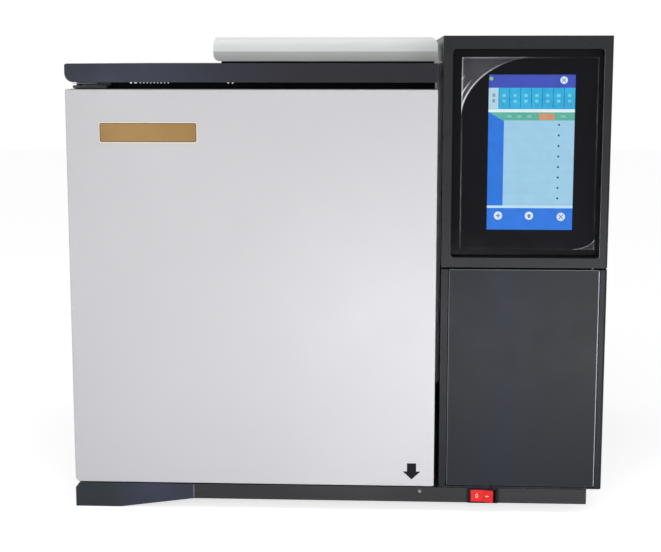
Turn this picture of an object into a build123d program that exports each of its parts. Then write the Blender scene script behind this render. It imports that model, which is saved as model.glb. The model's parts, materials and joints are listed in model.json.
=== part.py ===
from build123d import *
from math import cos, radians, sin
import os

# Bench gas chromatograph: an oven with a hinged door on the left, a control tower on the right.
# While it is built, X = 0 is the oven's left edge, Y = 0 the front plane and Z = 0 the bench.
# The finished nodes are moved together, so that the origin is at the bottom centre of the whole.

# ---- overall layout -------------------------------------------------------------------------
oven_w = 371.5          # oven section: door, deck and side panels
tower_gap = 5.0         # air gap between the oven section and the tower
tower_w = 165.5
body_d = 480.0          # front plane to the rear panel's outer face
base_h = 26.0           # top of the base tray above the bench
door_h = 404.2
deck_gap = 6.9          # dark gap between the door's top and the deck
deck_h = 18.5
tower_rise = 27.0       # tower top above the deck top
split_z = 254.1         # line between the tower's screen bezel and its service door
split_gap = 2.0         # open groove under that line
split_d = 9.0
base_short = 15.0       # the base stops this far short of the tower's right side

# ---- sheet and clearances -------------------------------------------------------------------
sheet = 1.5             # folded steel covers
thin_sheet = 1.0        # oven liner, door liner
case_sheet = 0.8        # galvanised oven casing
lift_gap = 0.4          # under the oven door
rest_gap = 0.3          # between faces of pieces that move past each other
fit_gap = 0.06          # radial, pin in bush
hole_gap = 0.5          # radial, fixed pieces through their holes
shaft_gap = 1.5         # radial, turning shaft through the oven's walls

# ---- base -----------------------------------------------------------------------------------
foot_h = 10.0           # clear height under the tray
tray_set = 46.0         # tray front wall behind the front plane
tray_flange = 14.0
skirt_top = 25.4
skirt_sheet = 1.0
skirt_return = 12.0
foot_seam = 123.5       # joint between the corner foot and the long skirt
foot_flat = 47.0        # part of the corner foot that stands on the bench
foot_wall = 2.5
foot_nick_x = 6.8       # bevel on the corner foot's top corner
foot_nick_z = 5.2
pad_r = 16.0            # rubber feet
pad_taper = 2.5
pad_in = 42.0
floor_slot_l = 60.0
floor_slot_w = 6.0
floor_slots = 8

# ---- oven section covers --------------------------------------------------------------------
side_inset = 2.0        # side panel inside the door's and the deck's left edge
body_front = 43.5       # front face of the oven's front frame
vent_l = 70.0
vent_w = 5.0
vent_pitch = 14.0
vents = 8
deck_top_r = 2.5
deck_low_r = 9.0

# ---- oven -----------------------------------------------------------------------------------
cavity_w = 284.0
cavity_h = 286.0
cavity_d = 210.0
insulation_t = 37.0
oven_lift = 22.0        # casing above the tray's top
liner_lip = 12.0        # liner flange behind the front frame
shaft_r = 4.0
fan_r = 82.0
fan_depth = 26.0
fan_hub_r = 14.0
fan_blades = 8
fan_blade_t = 1.6
fan_disc_t = 1.6
fan_back_gap = 12.0     # fan disc in front of the cavity's back wall
heater_r = 108.0
heater_wire_r = 3.0
heater_back = 22.0      # heater ring in front of the cavity's back wall
insulator_r = 6.0
insulators = 4
baffle_back = 50.0      # baffle in front of the cavity's back wall
baffle_t = 1.5
baffle_edge = 14.0      # air gap round the baffle
baffle_post_r = 5.0
baffle_inner_r = 15.0   # inlet slots run out from here
baffle_inlet_r = 46.0
baffle_slots = 12
baffle_slot_w = 6.0
peg_r = 5.0
peg_l = 46.0
column_r = 88.0         # mean radius of the wound column
column_w = 12.0         # wound width along Y
column_t = 6.0          # wound thickness
column_set = 24.0       # column behind the peg's free end, to its middle
cage_arm_w = 9.0
cage_arm_t = 2.0
cage_hub_r = 11.0
cage_lip = 4.0
cage_arms = 4
motor_r = 41.0
motor_l = 58.0
motor_stand = 24.0      # motor behind the casing, on its posts
motor_post_r = 4.0
probe_r = 1.6
probe_x = 104.0         # probe's place to the right of the shaft
probe_z = 92.0          # and above it
probe_in = 78.0         # length inside the cavity
duct_w = 66.0
duct_h = 46.0
duct_x = 84.0           # duct's middle, left of the shaft
duct_z = 84.0           # and above it
flap_t = 2.0
flap_set = 34.0         # flap's shaft in front of the rear panel
flap_shaft_r = 2.0

# ---- oven door ------------------------------------------------------------------------------
door_t = 40.0
door_skin_t = 1.2
door_foot_r = 5.0       # lower corner on the hinge side
door_corner_r = 1.5     # the other corners
door_edge_r = 1.0
hinge_inset = 4.0       # hinge line from the door's left face and from its back face
hinge_pin_r = 2.5
hinge_pin_l = 9.0
hinge_plate_t = 2.5
hinge_plate_w = 34.0
hinge_leg = 14.0
door_plug = 12.0        # door liner's plug into the cavity
plug_gap = 4.0
plug_r = 12.0
gasket_w = 10.0
gasket_t = 2.6
strike_w = 12.0
strike_t = 5.0
strike_z = 14.0         # strike's underside above the tray's top
strike_lug = 4.0
strike_slot = 3.0       # room round the strike in the front frame
button_in = 14.5        # button from the oven section's right edge
button_z = 21.4
button_r = 2.0
button_out = 1.2
button_bevel = 0.5
collar_r = 2.7
collar_t = 2.5
spring_t = 0.8
spring_w = 10.0
spring_foot = 16.0
spring_lean = 16.0      # how far the leaf leans back from its hook to its foot

# ---- deck, hood and what is under it --------------------------------------------------------
hood_left = 144.0
hood_gap = 2.2
hood_h = 24.0
hood_crease = 9.8       # height of the undercut band
hood_undercut = 5.0
hood_low_r = 6.0        # lower corner of the left end
hood_high_r = 8.0       # upper corner of the right end
hood_slant_x = 2.4      # bevel at the top of the left end
hood_slant_z = 8.8
hood_front = 40.0
hood_d = 250.0
hood_wall = 2.0
hood_top = 2.5          # bevel along the top of the front
hood_seat_t = 1.6
seat_gap = 1.2          # upright rim on the deck, inside the hood
seat_rise = 4.0         # rim above the hood's lower edge
hood_pin_r = 1.5
hood_pin_l = 9.0
hood_boss_r = 3.5
hood_axis_h = 7.2       # hinge line above the hood's lower edge
hood_post_w = 9.0
hood_post_in = 30.0     # hinge posts from the hood's ends
port_y = 120.0
port_x = (172.0, 214.0, 262.0, 306.0)
port_in = 16.0          # injector and detector stems into the cavity
injector_r = 8.0
injector_head_r = 12.0
injector_head = 5.0     # above the deck
nut_r = 10.0
nut_h = 9.0
needle_r = 1.0
detector_r = 9.0
flame_r = 13.0
flame_h = 17.0
flame_cap_r = 8.0
thermal_w = 34.0
thermal_h = 14.0
thermal_bevel = 3.0

# ---- tower ----------------------------------------------------------------------------------
tower_wall = 1.5
bezel_d = 24.0
bezel_r = 4.0
bezel_wall = 3.0
recess_in = 9.1         # recess edge from the bezel's left edge
recess_right = 8.1
recess_low = 9.7
recess_top = 12.8
recess_d = 12.0
recess_r = 4.0
glass_t = 2.5
glass_gap = 0.3
ledge_w = 5.0
screen_w = 85.3         # lit area of a 7 inch display
screen_h = 154.3
screen_x = 45.3         # lit area's left edge from the tower's left side
screen_low = 36.7       # lit area's lower edge above the split line
module_rim = 6.0
module_t = 6.0
board_t = 1.6
board_gap = 8.0
frame_d = 46.0          # service frame, front to back
frame_strip = 6.9       # strips either side of the service door
frame_lip = 1.4         # under the service door
bay_wall = 4.0
service_gap = 0.9
service_t = 17.0
service_wall = 1.2
service_back_gap = 2.0
service_pin_r = 1.5
service_pin_l = 7.0
service_pin_x = 7.0     # hinge line from the door's right edge
service_pin_y = 3.0     # and behind its front face
service_boss_r = 2.8
service_grip_w = 34.0
gas_panel_t = 2.0
knob_r = 13.0
knob_l = 17.0
knob_gap = 1.2
knob_flutes = 6
knob_flute_r = 3.0
knob_pitch = 62.0
knob_low = 52.0         # lowest knob above the tower's lower edge
stem_r = 3.0
stem_l = 12.0
regulator_r = 17.0
regulator_l = 38.0
regulator_nut_r = 8.0
regulator_bevel = 6.0
regulator_port_r = 4.5
regulator_port_l = 62.0 # over the two hexagon ends

# ---- switch ---------------------------------------------------------------------------------
switch_in = 29.5        # bezel's left edge from the tower's left side
switch_w = 31.5
switch_h = 15.0
switch_rim = 2.2        # bezel's overlap at its ends
switch_lip = 0.5        # and above and below
switch_wall = 0.6
switch_rim_t = 2.0
switch_body_t = 17.0
switch_floor = 4.0
rocker_half = 11.4
rocker_tilt = 10.0
rocker_gap = 0.2
rocker_wing = 3.4
rocker_root = 6.0
rocker_pivot_r = 1.6

# ---- inside and behind the tower ------------------------------------------------------------
core_w = 84.0
core_h = 70.0
core_d = 44.0
core_limb = 14.0        # iron round the windows
core_back = 88.0        # core in front of the rear panel
coil_out = 14.0
main_board_d = 220.0
main_board_h = 260.0
sink_t = 16.0           # heat sinks on the main board
sink_w = 22.0
sink_h = 35.0
sink_in = 44.0
sink_pitch = 44.0
sink_low = 70.0
fan_size = 80.0
fan_frame_t = 25.0
fan_bore_r = 37.0
rotor_hub_r = 16.0
rotor_gap = 1.5
rotor_blades = 7
fan_centre_z = 330.0
rear_sheet = 1.5
grille_pitch = 9.8      # slots in front of the cooling fan
fitting_r = 6.5
fitting_l = 18.0
fitting_nut_r = 8.0
fitting_nut_t = 6.0
tube_bore_r = 1.65      # takes 1/8 inch tube
tube_bore_l = 12.0
fitting_pitch = 26.0
fittings = 3
fitting_z = 190.0
inlet_w = 48.0
inlet_h = 27.0
inlet_t = 3.0
inlet_z = 66.0
inlet_body_w = 27.0
inlet_body_h = 20.0
inlet_body_d = 24.0
inlet_wall = 2.0
inlet_depth = 16.0
inlet_pin_w = 2.0
port_w = 16.0
port_h = 14.0
port_d = 20.0
port_z = 120.0
screw_r = 3.2
screw_t = 1.6
screw_in = 14.0

# ---- worked out from the above --------------------------------------------------------------
tower_x0 = oven_w + tower_gap
tower_x1 = tower_x0 + tower_w
door_z0 = base_h + lift_gap
door_z1 = door_z0 + door_h
deck_z0 = door_z1 + deck_gap
deck_z1 = deck_z0 + deck_h
tower_z1 = deck_z1 + tower_rise
rear_in = body_d - rear_sheet
side_x0 = side_inset
side_x1 = oven_w - side_inset - sheet
under_deck = deck_z1 - sheet
tray_x1 = tower_x1 - base_short
tray_floor = foot_h + sheet
case_y0 = body_front + sheet
oven_x = (side_x0 + sheet + side_x1) / 2
case_z0 = base_h + oven_lift
cavity_z0 = case_z0 + case_sheet + insulation_t + thin_sheet
oven_z = cavity_z0 + cavity_h / 2
cavity_y1 = body_front + cavity_d
case_y1 = cavity_y1 + thin_sheet + insulation_t + case_sheet
hood_x0 = hood_left
hood_x1 = oven_w
hood_z0 = deck_z1 + hood_gap
hood_y1 = hood_front + hood_d
hinge_x = hinge_inset
hinge_y = door_t - hinge_inset
bezel_in = recess_d + glass_t
service_x0 = tower_x0 + frame_strip + service_gap
service_x1 = tower_x1 - frame_strip - service_gap
service_z0 = base_h + frame_lip + service_gap
service_z1 = split_z - split_gap
service_pivot = (service_x1 - service_pin_x, service_pin_y)
panel_y0 = frame_d
tower_mid = (tower_x0 + tower_x1) / 2
switch_x = tower_x0 + switch_in
rocker_x = switch_x + switch_w / 2
button_x = oven_w - button_in
rocker_pivot_y = rocker_wing
switch_z = (foot_h + skirt_top) / 2
knob_x = tower_mid

nodes = {}


def block(x0, x1, y0, y1, z0, z1):
    return Pos((x0 + x1) / 2, (y0 + y1) / 2, (z0 + z1) / 2) * Box(x1 - x0, y1 - y0, z1 - z0)


def rod(x, y, z, way, radius, length):
    """A cylinder that starts at a point and runs along a direction."""
    seat = Plane(origin=(x, y, z), z_dir=way)
    return seat * Cylinder(radius, length, align=(Align.CENTER, Align.CENTER, Align.MIN))


def front_shape(outline, y0, y1):
    """An outline drawn as seen from the front, between two depths."""
    return extrude(Plane.XZ.offset(-y0) * outline, amount=-(y1 - y0))


def flat(x0, x1, z0, z1):
    return Pos((x0 + x1) / 2, (z0 + z1) / 2) * Rectangle(x1 - x0, z1 - z0)


def rounded(x0, x1, z0, z1, radius):
    return Pos((x0 + x1) / 2, (z0 + z1) / 2) * RectangleRounded(x1 - x0, z1 - z0, radius)


def hex_front(x, z, radius, y0, y1):
    return front_shape(Pos(x, z) * RegularPolygon(radius, 6), y0, y1)


def side_shape(points, x0, x1):
    """A polygon of depth and height, between two widths."""
    return extrude(Plane.YZ.offset(x0) * make_face(Polyline(*points, close=True)), amount=x1 - x0)


def plan_shape(outline, z0, z1):
    return extrude(Plane.XY.offset(z0) * outline, amount=z1 - z0)


def keep(name, *solids):
    nodes[name] = list(solids)


def cut_all(solid, tools):
    for tool in tools:
        solid = solid - tool
    return solid


# ---- base -----------------------------------------------------------------------------------
def make_base():
    y1 = rear_in
    tray = block(side_x0, tray_x1, tray_set, y1, foot_h, base_h)
    tray -= block(side_x0 + sheet, tray_x1 - sheet, tray_set + sheet, y1 - sheet, tray_floor, base_h - sheet)
    tray -= block(side_x0 + tray_flange, tray_x1 - tray_flange, tray_set + tray_flange, y1 - tray_flange,
                  tray_floor, base_h)
    pitch = (tray_x1 - side_x0 - 2 * pad_in) / (floor_slots + 1)
    mid_y = (tray_set + y1) / 2
    slots = []
    for n in range(floor_slots):
        x = side_x0 + pad_in + pitch * (n + 1)
        slots.append(block(x - floor_slot_w / 2, x + floor_slot_w / 2, mid_y - floor_slot_l / 2,
                           mid_y + floor_slot_l / 2, foot_h, tray_floor))
    tray = cut_all(tray, slots)
    tray -= rod(button_x, tray_set, button_z, (0, 1, 0), button_r + hole_gap, sheet)
    keep("base_tray", tray)

    skirt = block(foot_seam, tray_x1, 0, tray_set, foot_h, skirt_top)
    wall = skirt_sheet
    skirt -= block(foot_seam, tray_x1 - wall, wall, tray_set, foot_h + wall, skirt_top - wall)
    skirt -= block(foot_seam, tray_x1 - wall, skirt_return, tray_set, foot_h, foot_h + wall)
    skirt -= rod(button_x, 0, button_z, (0, 1, 0), button_r + fit_gap, wall)
    skirt -= block(switch_x + switch_rim, switch_x + switch_w - switch_rim, 0, switch_body_t + hole_gap,
                   switch_z - switch_h / 2 + switch_lip, switch_z + switch_h / 2 - switch_lip)
    keep("skirt_front", skirt)

    outline = Polyline((0, 0), (foot_flat, 0), (foot_seam, foot_h), (foot_seam, skirt_top),
                       (foot_nick_x, skirt_top), (0, skirt_top - foot_nick_z), close=True)
    face = make_face(outline)
    foot = front_shape(face, 0, tray_set)
    foot -= front_shape(offset(face, -foot_wall, kind=Kind.INTERSECTION), foot_wall, tray_set)
    foot -= hinge_room(skirt_top - hinge_plate_t - foot_wall, skirt_top)
    keep("skirt_foot_left", foot)

    pads = []
    back = rear_in - pad_in
    for x, y in ((tray_x1 - pad_in, tray_set + pad_in), (side_x0 + pad_in, back), (tray_x1 - pad_in, back)):
        pads.append(Pos(x, y, foot_h / 2) * Cone(pad_r - pad_taper, pad_r, foot_h))
    keep("rubber_feet", *pads)


def hinge_room(z0, z1):
    """Room for the lower hinge plate in the corner foot's top wall."""
    x1 = hinge_x + hinge_plate_w + hole_gap
    return block(0, x1, hinge_y - hinge_leg, tray_set, z0, z1)


# ---- covers of the oven section -------------------------------------------------------------
def make_oven_covers():
    left = block(side_x0, side_x0 + sheet, body_front, rear_in, base_h, under_deck)
    slots = []
    for n in range(vents):
        z = oven_z + (n - (vents - 1) / 2) * vent_pitch
        slots.append(block(side_x0, side_x0 + sheet, case_y1 + vent_w, case_y1 + vent_w + vent_l,
                           z - vent_w / 2, z + vent_w / 2))
    keep("side_panel_left", cut_all(left, slots))
    keep("side_panel_right", block(side_x1, side_x1 + sheet, body_front, rear_in, base_h, under_deck))

    frame = block(side_x0 + sheet, side_x1, body_front, case_y0, base_h, under_deck)
    half = cavity_w / 2 + thin_sheet
    rise = cavity_h / 2 + thin_sheet
    frame -= block(oven_x - half, oven_x + half, body_front, case_y0, oven_z - rise, oven_z + rise)
    strike_low = base_h + strike_z - strike_lug
    frame -= block(button_x - strike_w / 2 - strike_slot, button_x + strike_w / 2 + strike_slot, body_front,
                   case_y0, strike_low - strike_slot, base_h + strike_z + strike_t + strike_slot)
    keep("oven_front_frame", frame)

    deck = block(0, oven_w, 0, body_d, deck_z0, deck_z1)
    low = deck.edges().filter_by(Axis.Y).group_by(Axis.Z)[0]
    deck = fillet(low.sort_by(Axis.X)[0], deck_low_r)
    deck = fillet(deck.edges().filter_by(Axis.Y).group_by(Axis.Z)[-1], deck_top_r)
    hollow = block(sheet, oven_w - sheet, sheet, body_d, deck_z0, under_deck)
    low = hollow.edges().filter_by(Axis.Y).group_by(Axis.Z)[0]
    hollow = fillet(low.sort_by(Axis.X)[0], deck_low_r - sheet)
    deck -= hollow
    deck -= block(sheet, oven_w - sheet, body_front - hole_gap, body_d, deck_z0, under_deck)
    for x in port_x:
        deck -= rod(x, port_y, under_deck, (0, 0, 1), detector_r + hole_gap * 2, sheet)
    keep("top_deck", deck)


# ---- oven -----------------------------------------------------------------------------------
def oven_box(grow, y0, y1):
    return block(oven_x - cavity_w / 2 - grow, oven_x + cavity_w / 2 + grow, y0, y1,
                 oven_z - cavity_h / 2 - grow, oven_z + cavity_h / 2 + grow)


def through_oven(solid, square):
    """Cuts the shaft, stem, probe and duct passages, which are square in the wool and its casing."""
    y0, y1 = cavity_y1 - thin_sheet, case_y1
    z0 = oven_z + cavity_h / 2
    z1 = z0 + insulation_t + thin_sheet + case_sheet
    shaft = (oven_x, oven_z, shaft_r + shaft_gap)
    probe = (oven_x + probe_x, oven_z + probe_z, probe_r + hole_gap)
    for x, z, radius in (shaft, probe):
        if square:
            solid -= block(x - radius, x + radius, y0, y1, z - radius, z + radius)
        else:
            solid -= rod(x, y0, z, (0, 1, 0), radius, y1 - y0)
    for x, radius in zip(port_x, (injector_r, injector_r, detector_r, detector_r)):
        if square:
            half = radius + hole_gap
            solid -= block(x - half, x + half, port_y - half, port_y + half, z0, z1)
        else:
            solid -= rod(x, port_y, z0, (0, 0, 1), radius + hole_gap, z1 - z0)
    x, z = oven_x - duct_x, oven_z + duct_z
    return solid - block(x - duct_w / 2, x + duct_w / 2, y0, y1, z - duct_h / 2, z + duct_h / 2)


def make_oven():
    back = cavity_y1 + thin_sheet
    liner = oven_box(thin_sheet, body_front, back) + oven_box(liner_lip, case_y0, case_y0 + thin_sheet)
    liner -= oven_box(0, body_front, cavity_y1)
    keep("oven_liner", through_oven(liner, False))

    wool_y0 = case_y0 + thin_sheet
    grow = thin_sheet + insulation_t
    wool = oven_box(grow, wool_y0, case_y1 - case_sheet) - oven_box(thin_sheet, wool_y0, back)
    keep("oven_insulation", through_oven(wool, True))

    case = oven_box(grow + case_sheet, case_y0, case_y1) - oven_box(grow, case_y0, case_y1 - case_sheet)
    keep("oven_casing", through_oven(case, True))

    keep("oven_fan", impeller())
    keep("oven_fan_motor", motor())
    keep("oven_heater", *heater())
    keep("oven_baffle", baffle())
    keep("column_cage", cage())
    column_y = cavity_y1 - baffle_back - peg_l + column_set
    keep("capillary_column", front_ring(column_r - column_t / 2, column_r + column_t / 2,
                                        column_y - column_w / 2, column_y + column_w / 2))
    probe = rod(oven_x + probe_x, cavity_y1 - probe_in, oven_z + probe_z, (0, 1, 0), probe_r,
                probe_in + case_y1 - cavity_y1)
    probe += rod(oven_x + probe_x, case_y1, oven_z + probe_z, (0, 1, 0), probe_r * 3, probe_r * 4)
    keep("temperature_probe", probe)


def front_ring(inner, outer, y0, y1):
    return front_shape(Pos(oven_x, oven_z) * (Circle(outer) - Circle(inner)), y0, y1)


def impeller():
    """Back disc, shaft and curved blades that lean back from the turn."""
    y1 = cavity_y1 - fan_back_gap
    y0 = y1 - fan_depth
    wheel = rod(oven_x, y1 - fan_disc_t, oven_z, (0, 1, 0), fan_r, fan_disc_t)
    wheel += rod(oven_x, y0, oven_z, (0, 1, 0), fan_hub_r, fan_depth)
    inner = fan_hub_r * 2
    bend = ThreePointArc((inner, 0), ((inner + fan_r) / 2, fan_hub_r * 0.7), (fan_r, 0))
    blade = make_face(offset(bend, fan_blade_t / 2, kind=Kind.INTERSECTION, side=Side.BOTH))
    for n in range(fan_blades):
        turned = Pos(oven_x, oven_z) * Rot(0, 0, 360 / fan_blades * n) * blade
        wheel += front_shape(turned, y0, y1)
    wheel += rod(oven_x, y1, oven_z, (0, 1, 0), shaft_r, case_y1 + motor_stand + motor_l / 2 - y1)
    return wheel


def motor():
    y0 = case_y1 + motor_stand
    can = rod(oven_x, y0, oven_z, (0, 1, 0), motor_r, motor_l)
    can = chamfer(can.edges().filter_by(GeomType.CIRCLE).sort_by(Axis.Y)[-1], motor_post_r)
    reach = motor_r - motor_post_r * 1.5
    for n in range(4):
        turn = radians(45 + 90 * n)
        can += rod(oven_x + reach * cos(turn), case_y1, oven_z + reach * sin(turn), (0, 1, 0), motor_post_r,
                   motor_stand + motor_post_r)
    return can - rod(oven_x, y0, oven_z, (0, 1, 0), shaft_r + fit_gap, motor_l / 2 + rest_gap)


def heater():
    """The ring element, and the ceramic posts that hold it off the back wall."""
    y = cavity_y1 - heater_back
    ring = front_ring(heater_r - heater_wire_r, heater_r + heater_wire_r, y - heater_wire_r,
                      y + heater_wire_r)
    post_l = heater_back + insulator_r
    posts = []
    for n in range(insulators):
        turn = radians(360 / insulators * n)
        post = rod(oven_x + heater_r * cos(turn), cavity_y1 - post_l, oven_z + heater_r * sin(turn), (0, 1, 0),
                   insulator_r, post_l)
        posts.append(post - ring)
    return [ring, *posts]


def baffle():
    """Slotted plate on four posts, with the inlet in its middle and the peg for the column cage."""
    y1 = cavity_y1 - baffle_back
    y0 = y1 - baffle_t
    plate = oven_box(-baffle_edge, y0, y1)
    bars = flat(-baffle_slot_w / 2, baffle_slot_w / 2, baffle_inner_r, baffle_inlet_r)
    for n in range(baffle_slots):
        slot = Pos(oven_x, oven_z) * Rot(0, 0, 360 / baffle_slots * n) * bars
        plate -= front_shape(slot, y0, y1)
    reach = cavity_w / 2 - baffle_edge - baffle_post_r * 2
    rise = cavity_h / 2 - baffle_edge - baffle_post_r * 2
    for x in (-reach, reach):
        for z in (-rise, rise):
            plate += rod(oven_x + x, y1, oven_z + z, (0, 1, 0), baffle_post_r, baffle_back)
    plate -= rod(oven_x + probe_x, y0, oven_z + probe_z, (0, 1, 0), probe_r + hole_gap, baffle_t)
    return plate + rod(oven_x, y0 - peg_l, oven_z, (0, 1, 0), peg_r, peg_l)


def cage():
    """Hub on the peg, with arms that end in lips round the wound column."""
    y = cavity_y1 - baffle_back - peg_l + column_set
    hub = front_ring(peg_r, cage_hub_r, y - column_w, y + column_w)
    inner = column_r - column_t / 2
    outer = column_r + column_t / 2
    half = cage_arm_w / 2
    seat = (inner ** 2 - half ** 2) ** 0.5
    for n in range(cage_arms):
        turn = Rot(0, 0, 45 + 360 / cage_arms * n)
        arm = Pos(oven_x, oven_z) * turn * flat(peg_r * 1.5, outer, -half, half)
        hub += front_shape(arm, y + column_w / 2, y + column_w / 2 + cage_arm_t)
        shelf = Pos(oven_x, oven_z) * turn * flat(inner - cage_arm_t, seat, -half, half)
        hub += front_shape(shelf, y - column_w / 2, y + column_w / 2 + cage_arm_t)
        lip = Pos(oven_x, oven_z) * turn * flat(inner - cage_arm_t, inner + cage_lip, -half, half)
        hub += front_shape(lip, y - column_w / 2 - cage_arm_t, y - column_w / 2)
    return hub


# ---- oven door and its catch ----------------------------------------------------------------
def make_door():
    skin = block(0, oven_w, 0, door_t, door_z0, door_z1)
    corners = skin.edges().filter_by(Axis.Y).sort_by(lambda edge: edge.center().X + edge.center().Z)
    skin = fillet(corners[0], door_foot_r)
    corners = skin.edges().filter_by(Axis.Y).group_by(Axis.Z)
    skin = fillet([corners[0].sort_by(Axis.X)[-1], *corners[-1]], door_corner_r)
    skin = fillet(skin.faces().sort_by(Axis.Y)[0].edges(), door_edge_r)
    wall = door_skin_t
    skin -= block(wall, oven_w - wall, wall, door_t, door_z0 + wall, door_z1 - wall)
    for z, way in ((door_z0, 1), (door_z1, -1)):
        skin -= rod(hinge_x, hinge_y, z, (0, 0, way), hinge_pin_r + fit_gap, wall)
        low = min(z, z + way * wall)
        skin -= block(0, hinge_x + hinge_pin_r, hinge_y, door_t, low, low + wall)
    keep("door_skin", skin)

    clear = hinge_x + hinge_pin_r + foot_wall
    wool_y1 = door_t - thin_sheet
    keep("door_insulation", block(clear, oven_w - wall, wall, wool_y1, door_z0 + wall, door_z1 - wall))

    panel = block(clear, oven_w - wall, wool_y1, door_t, door_z0 + wall, door_z1 - wall)
    plug = rounded(oven_x - cavity_w / 2 + plug_gap, oven_x + cavity_w / 2 - plug_gap,
                   oven_z - cavity_h / 2 + plug_gap, oven_z + cavity_h / 2 - plug_gap, plug_r)
    plug_y1 = body_front + door_plug
    panel += front_shape(plug, door_t, plug_y1)
    panel -= front_shape(offset(plug, -thin_sheet), wool_y1, plug_y1 - thin_sheet)
    keep("door_liner", panel)

    outer = rounded(oven_x - cavity_w / 2 - gasket_w, oven_x + cavity_w / 2 + gasket_w,
                    oven_z - cavity_h / 2 - gasket_w, oven_z + cavity_h / 2 + gasket_w, plug_r + gasket_w)
    keep("door_gasket", front_shape(outer - plug, door_t, door_t + gasket_t))

    low = base_h + strike_z
    lug_y = body_front + strike_w
    strike = block(button_x - strike_w / 2, button_x + strike_w / 2, door_t, lug_y + strike_lug, low,
                   low + strike_t)
    strike += block(button_x - strike_w / 2, button_x + strike_w / 2, lug_y, lug_y + strike_lug,
                    low - strike_lug, low)
    keep("door_strike", fillet(strike.edges().filter_by(Axis.X).sort_by(Axis.Y)[-1], strike_lug / 2))


def make_catch():
    """Button rod in the skirt, and the hooked leaf that it bends off the door's strike."""
    hook_y = body_front + strike_w - spring_t - rest_gap
    hook_z = base_h + strike_z - rest_gap
    knee_z = base_h + strike_z - strike_lug - spring_t - rest_gap
    foot_y = hook_y + strike_lug * 2 + spring_lean
    t = spring_t
    leaf = [(hook_y, hook_z), (hook_y, knee_z - t), (hook_y + strike_lug * 2, knee_z - t), (foot_y, tray_floor),
            (foot_y + spring_foot, tray_floor), (foot_y + spring_foot, tray_floor + t),
            (foot_y + t, tray_floor + t), (hook_y + strike_lug * 2 + t, knee_z), (hook_y + t, knee_z),
            (hook_y + t, hook_z)]
    keep("latch_spring", side_shape(leaf, button_x - spring_w / 2, button_x + spring_w / 2))

    drop = (knee_z - t - button_z - button_r) / (knee_z - t - tray_floor)
    leaf_y = hook_y + strike_lug * 2 + spring_lean * drop
    button = rod(button_x, -button_out, button_z, (0, 1, 0), button_r, leaf_y - rest_gap + button_out)
    button = chamfer(button.edges().filter_by(GeomType.CIRCLE).sort_by(Axis.Y)[0], button_bevel)
    button += rod(button_x, skirt_sheet + rest_gap, button_z, (0, 1, 0), collar_r, collar_t)
    keep("release_button", button)


def make_oven_hinge():
    """Two plates on the front frame and the tray, each with a pin into the door."""
    plates = []
    x1 = hinge_x + hinge_plate_w
    for z, way, wall_y in ((door_z1, 1, body_front), (door_z0, -1, tray_set)):
        seat = z + way * lift_gap * 2
        far = seat + way * hinge_plate_t
        x0 = hinge_x - hinge_pin_r - hole_gap * 2
        plate = block(x0, x1, hinge_y - hinge_pin_r * 2, wall_y, min(seat, far), max(seat, far))
        plate = fillet(plate.edges().filter_by(Axis.Z).sort_by(Axis.Y)[0:2], hinge_pin_r)
        end = far + way * hinge_leg
        if way > 0:
            leg_x = deck_low_r + rest_gap
            plate += block(leg_x, x1, wall_y - hinge_plate_t, wall_y, seat, end)
        else:
            leg_x = foot_nick_x + foot_wall
            plate += block(leg_x, x1, wall_y - hinge_plate_t, wall_y, tray_floor, seat)
        plates.append(plate + rod(hinge_x, hinge_y, seat, (0, 0, -way), hinge_pin_r, hinge_pin_l))
    keep("oven_hinge_brackets", *plates)


# ---- hood over the injectors and detectors --------------------------------------------------
def hood_form(wall):
    """The hood's outside, or its inside when the wall is taken off all round."""
    y0, y1 = hood_front + wall, hood_y1 - wall
    top = hood_z0 + hood_h - wall
    crease = hood_z0 + hood_crease
    side = side_shape([(y0 + hood_undercut, hood_z0), (y1, hood_z0), (y1, top), (y0 + hood_top, top),
                       (y0, top - hood_top), (y0, crease)], hood_x0, hood_x1)
    x0, x1, z0, z1 = hood_x0, hood_x1, hood_z0, hood_z0 + hood_h
    ends = make_face(Polyline((x0, z0), (x1, z0), (x1, z1), (x0 + hood_slant_x, z1), (x0, z1 - hood_slant_z),
                              close=True))
    corners = ends.vertices().group_by(Axis.Y)
    ends = fillet([corners[0].sort_by(Axis.X)[0]], hood_low_r)
    ends = fillet([ends.vertices().group_by(Axis.Y)[-1].sort_by(Axis.X)[-1]], hood_high_r)
    return side & front_shape(offset(ends, -wall) if wall else ends, y0, y1)


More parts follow.
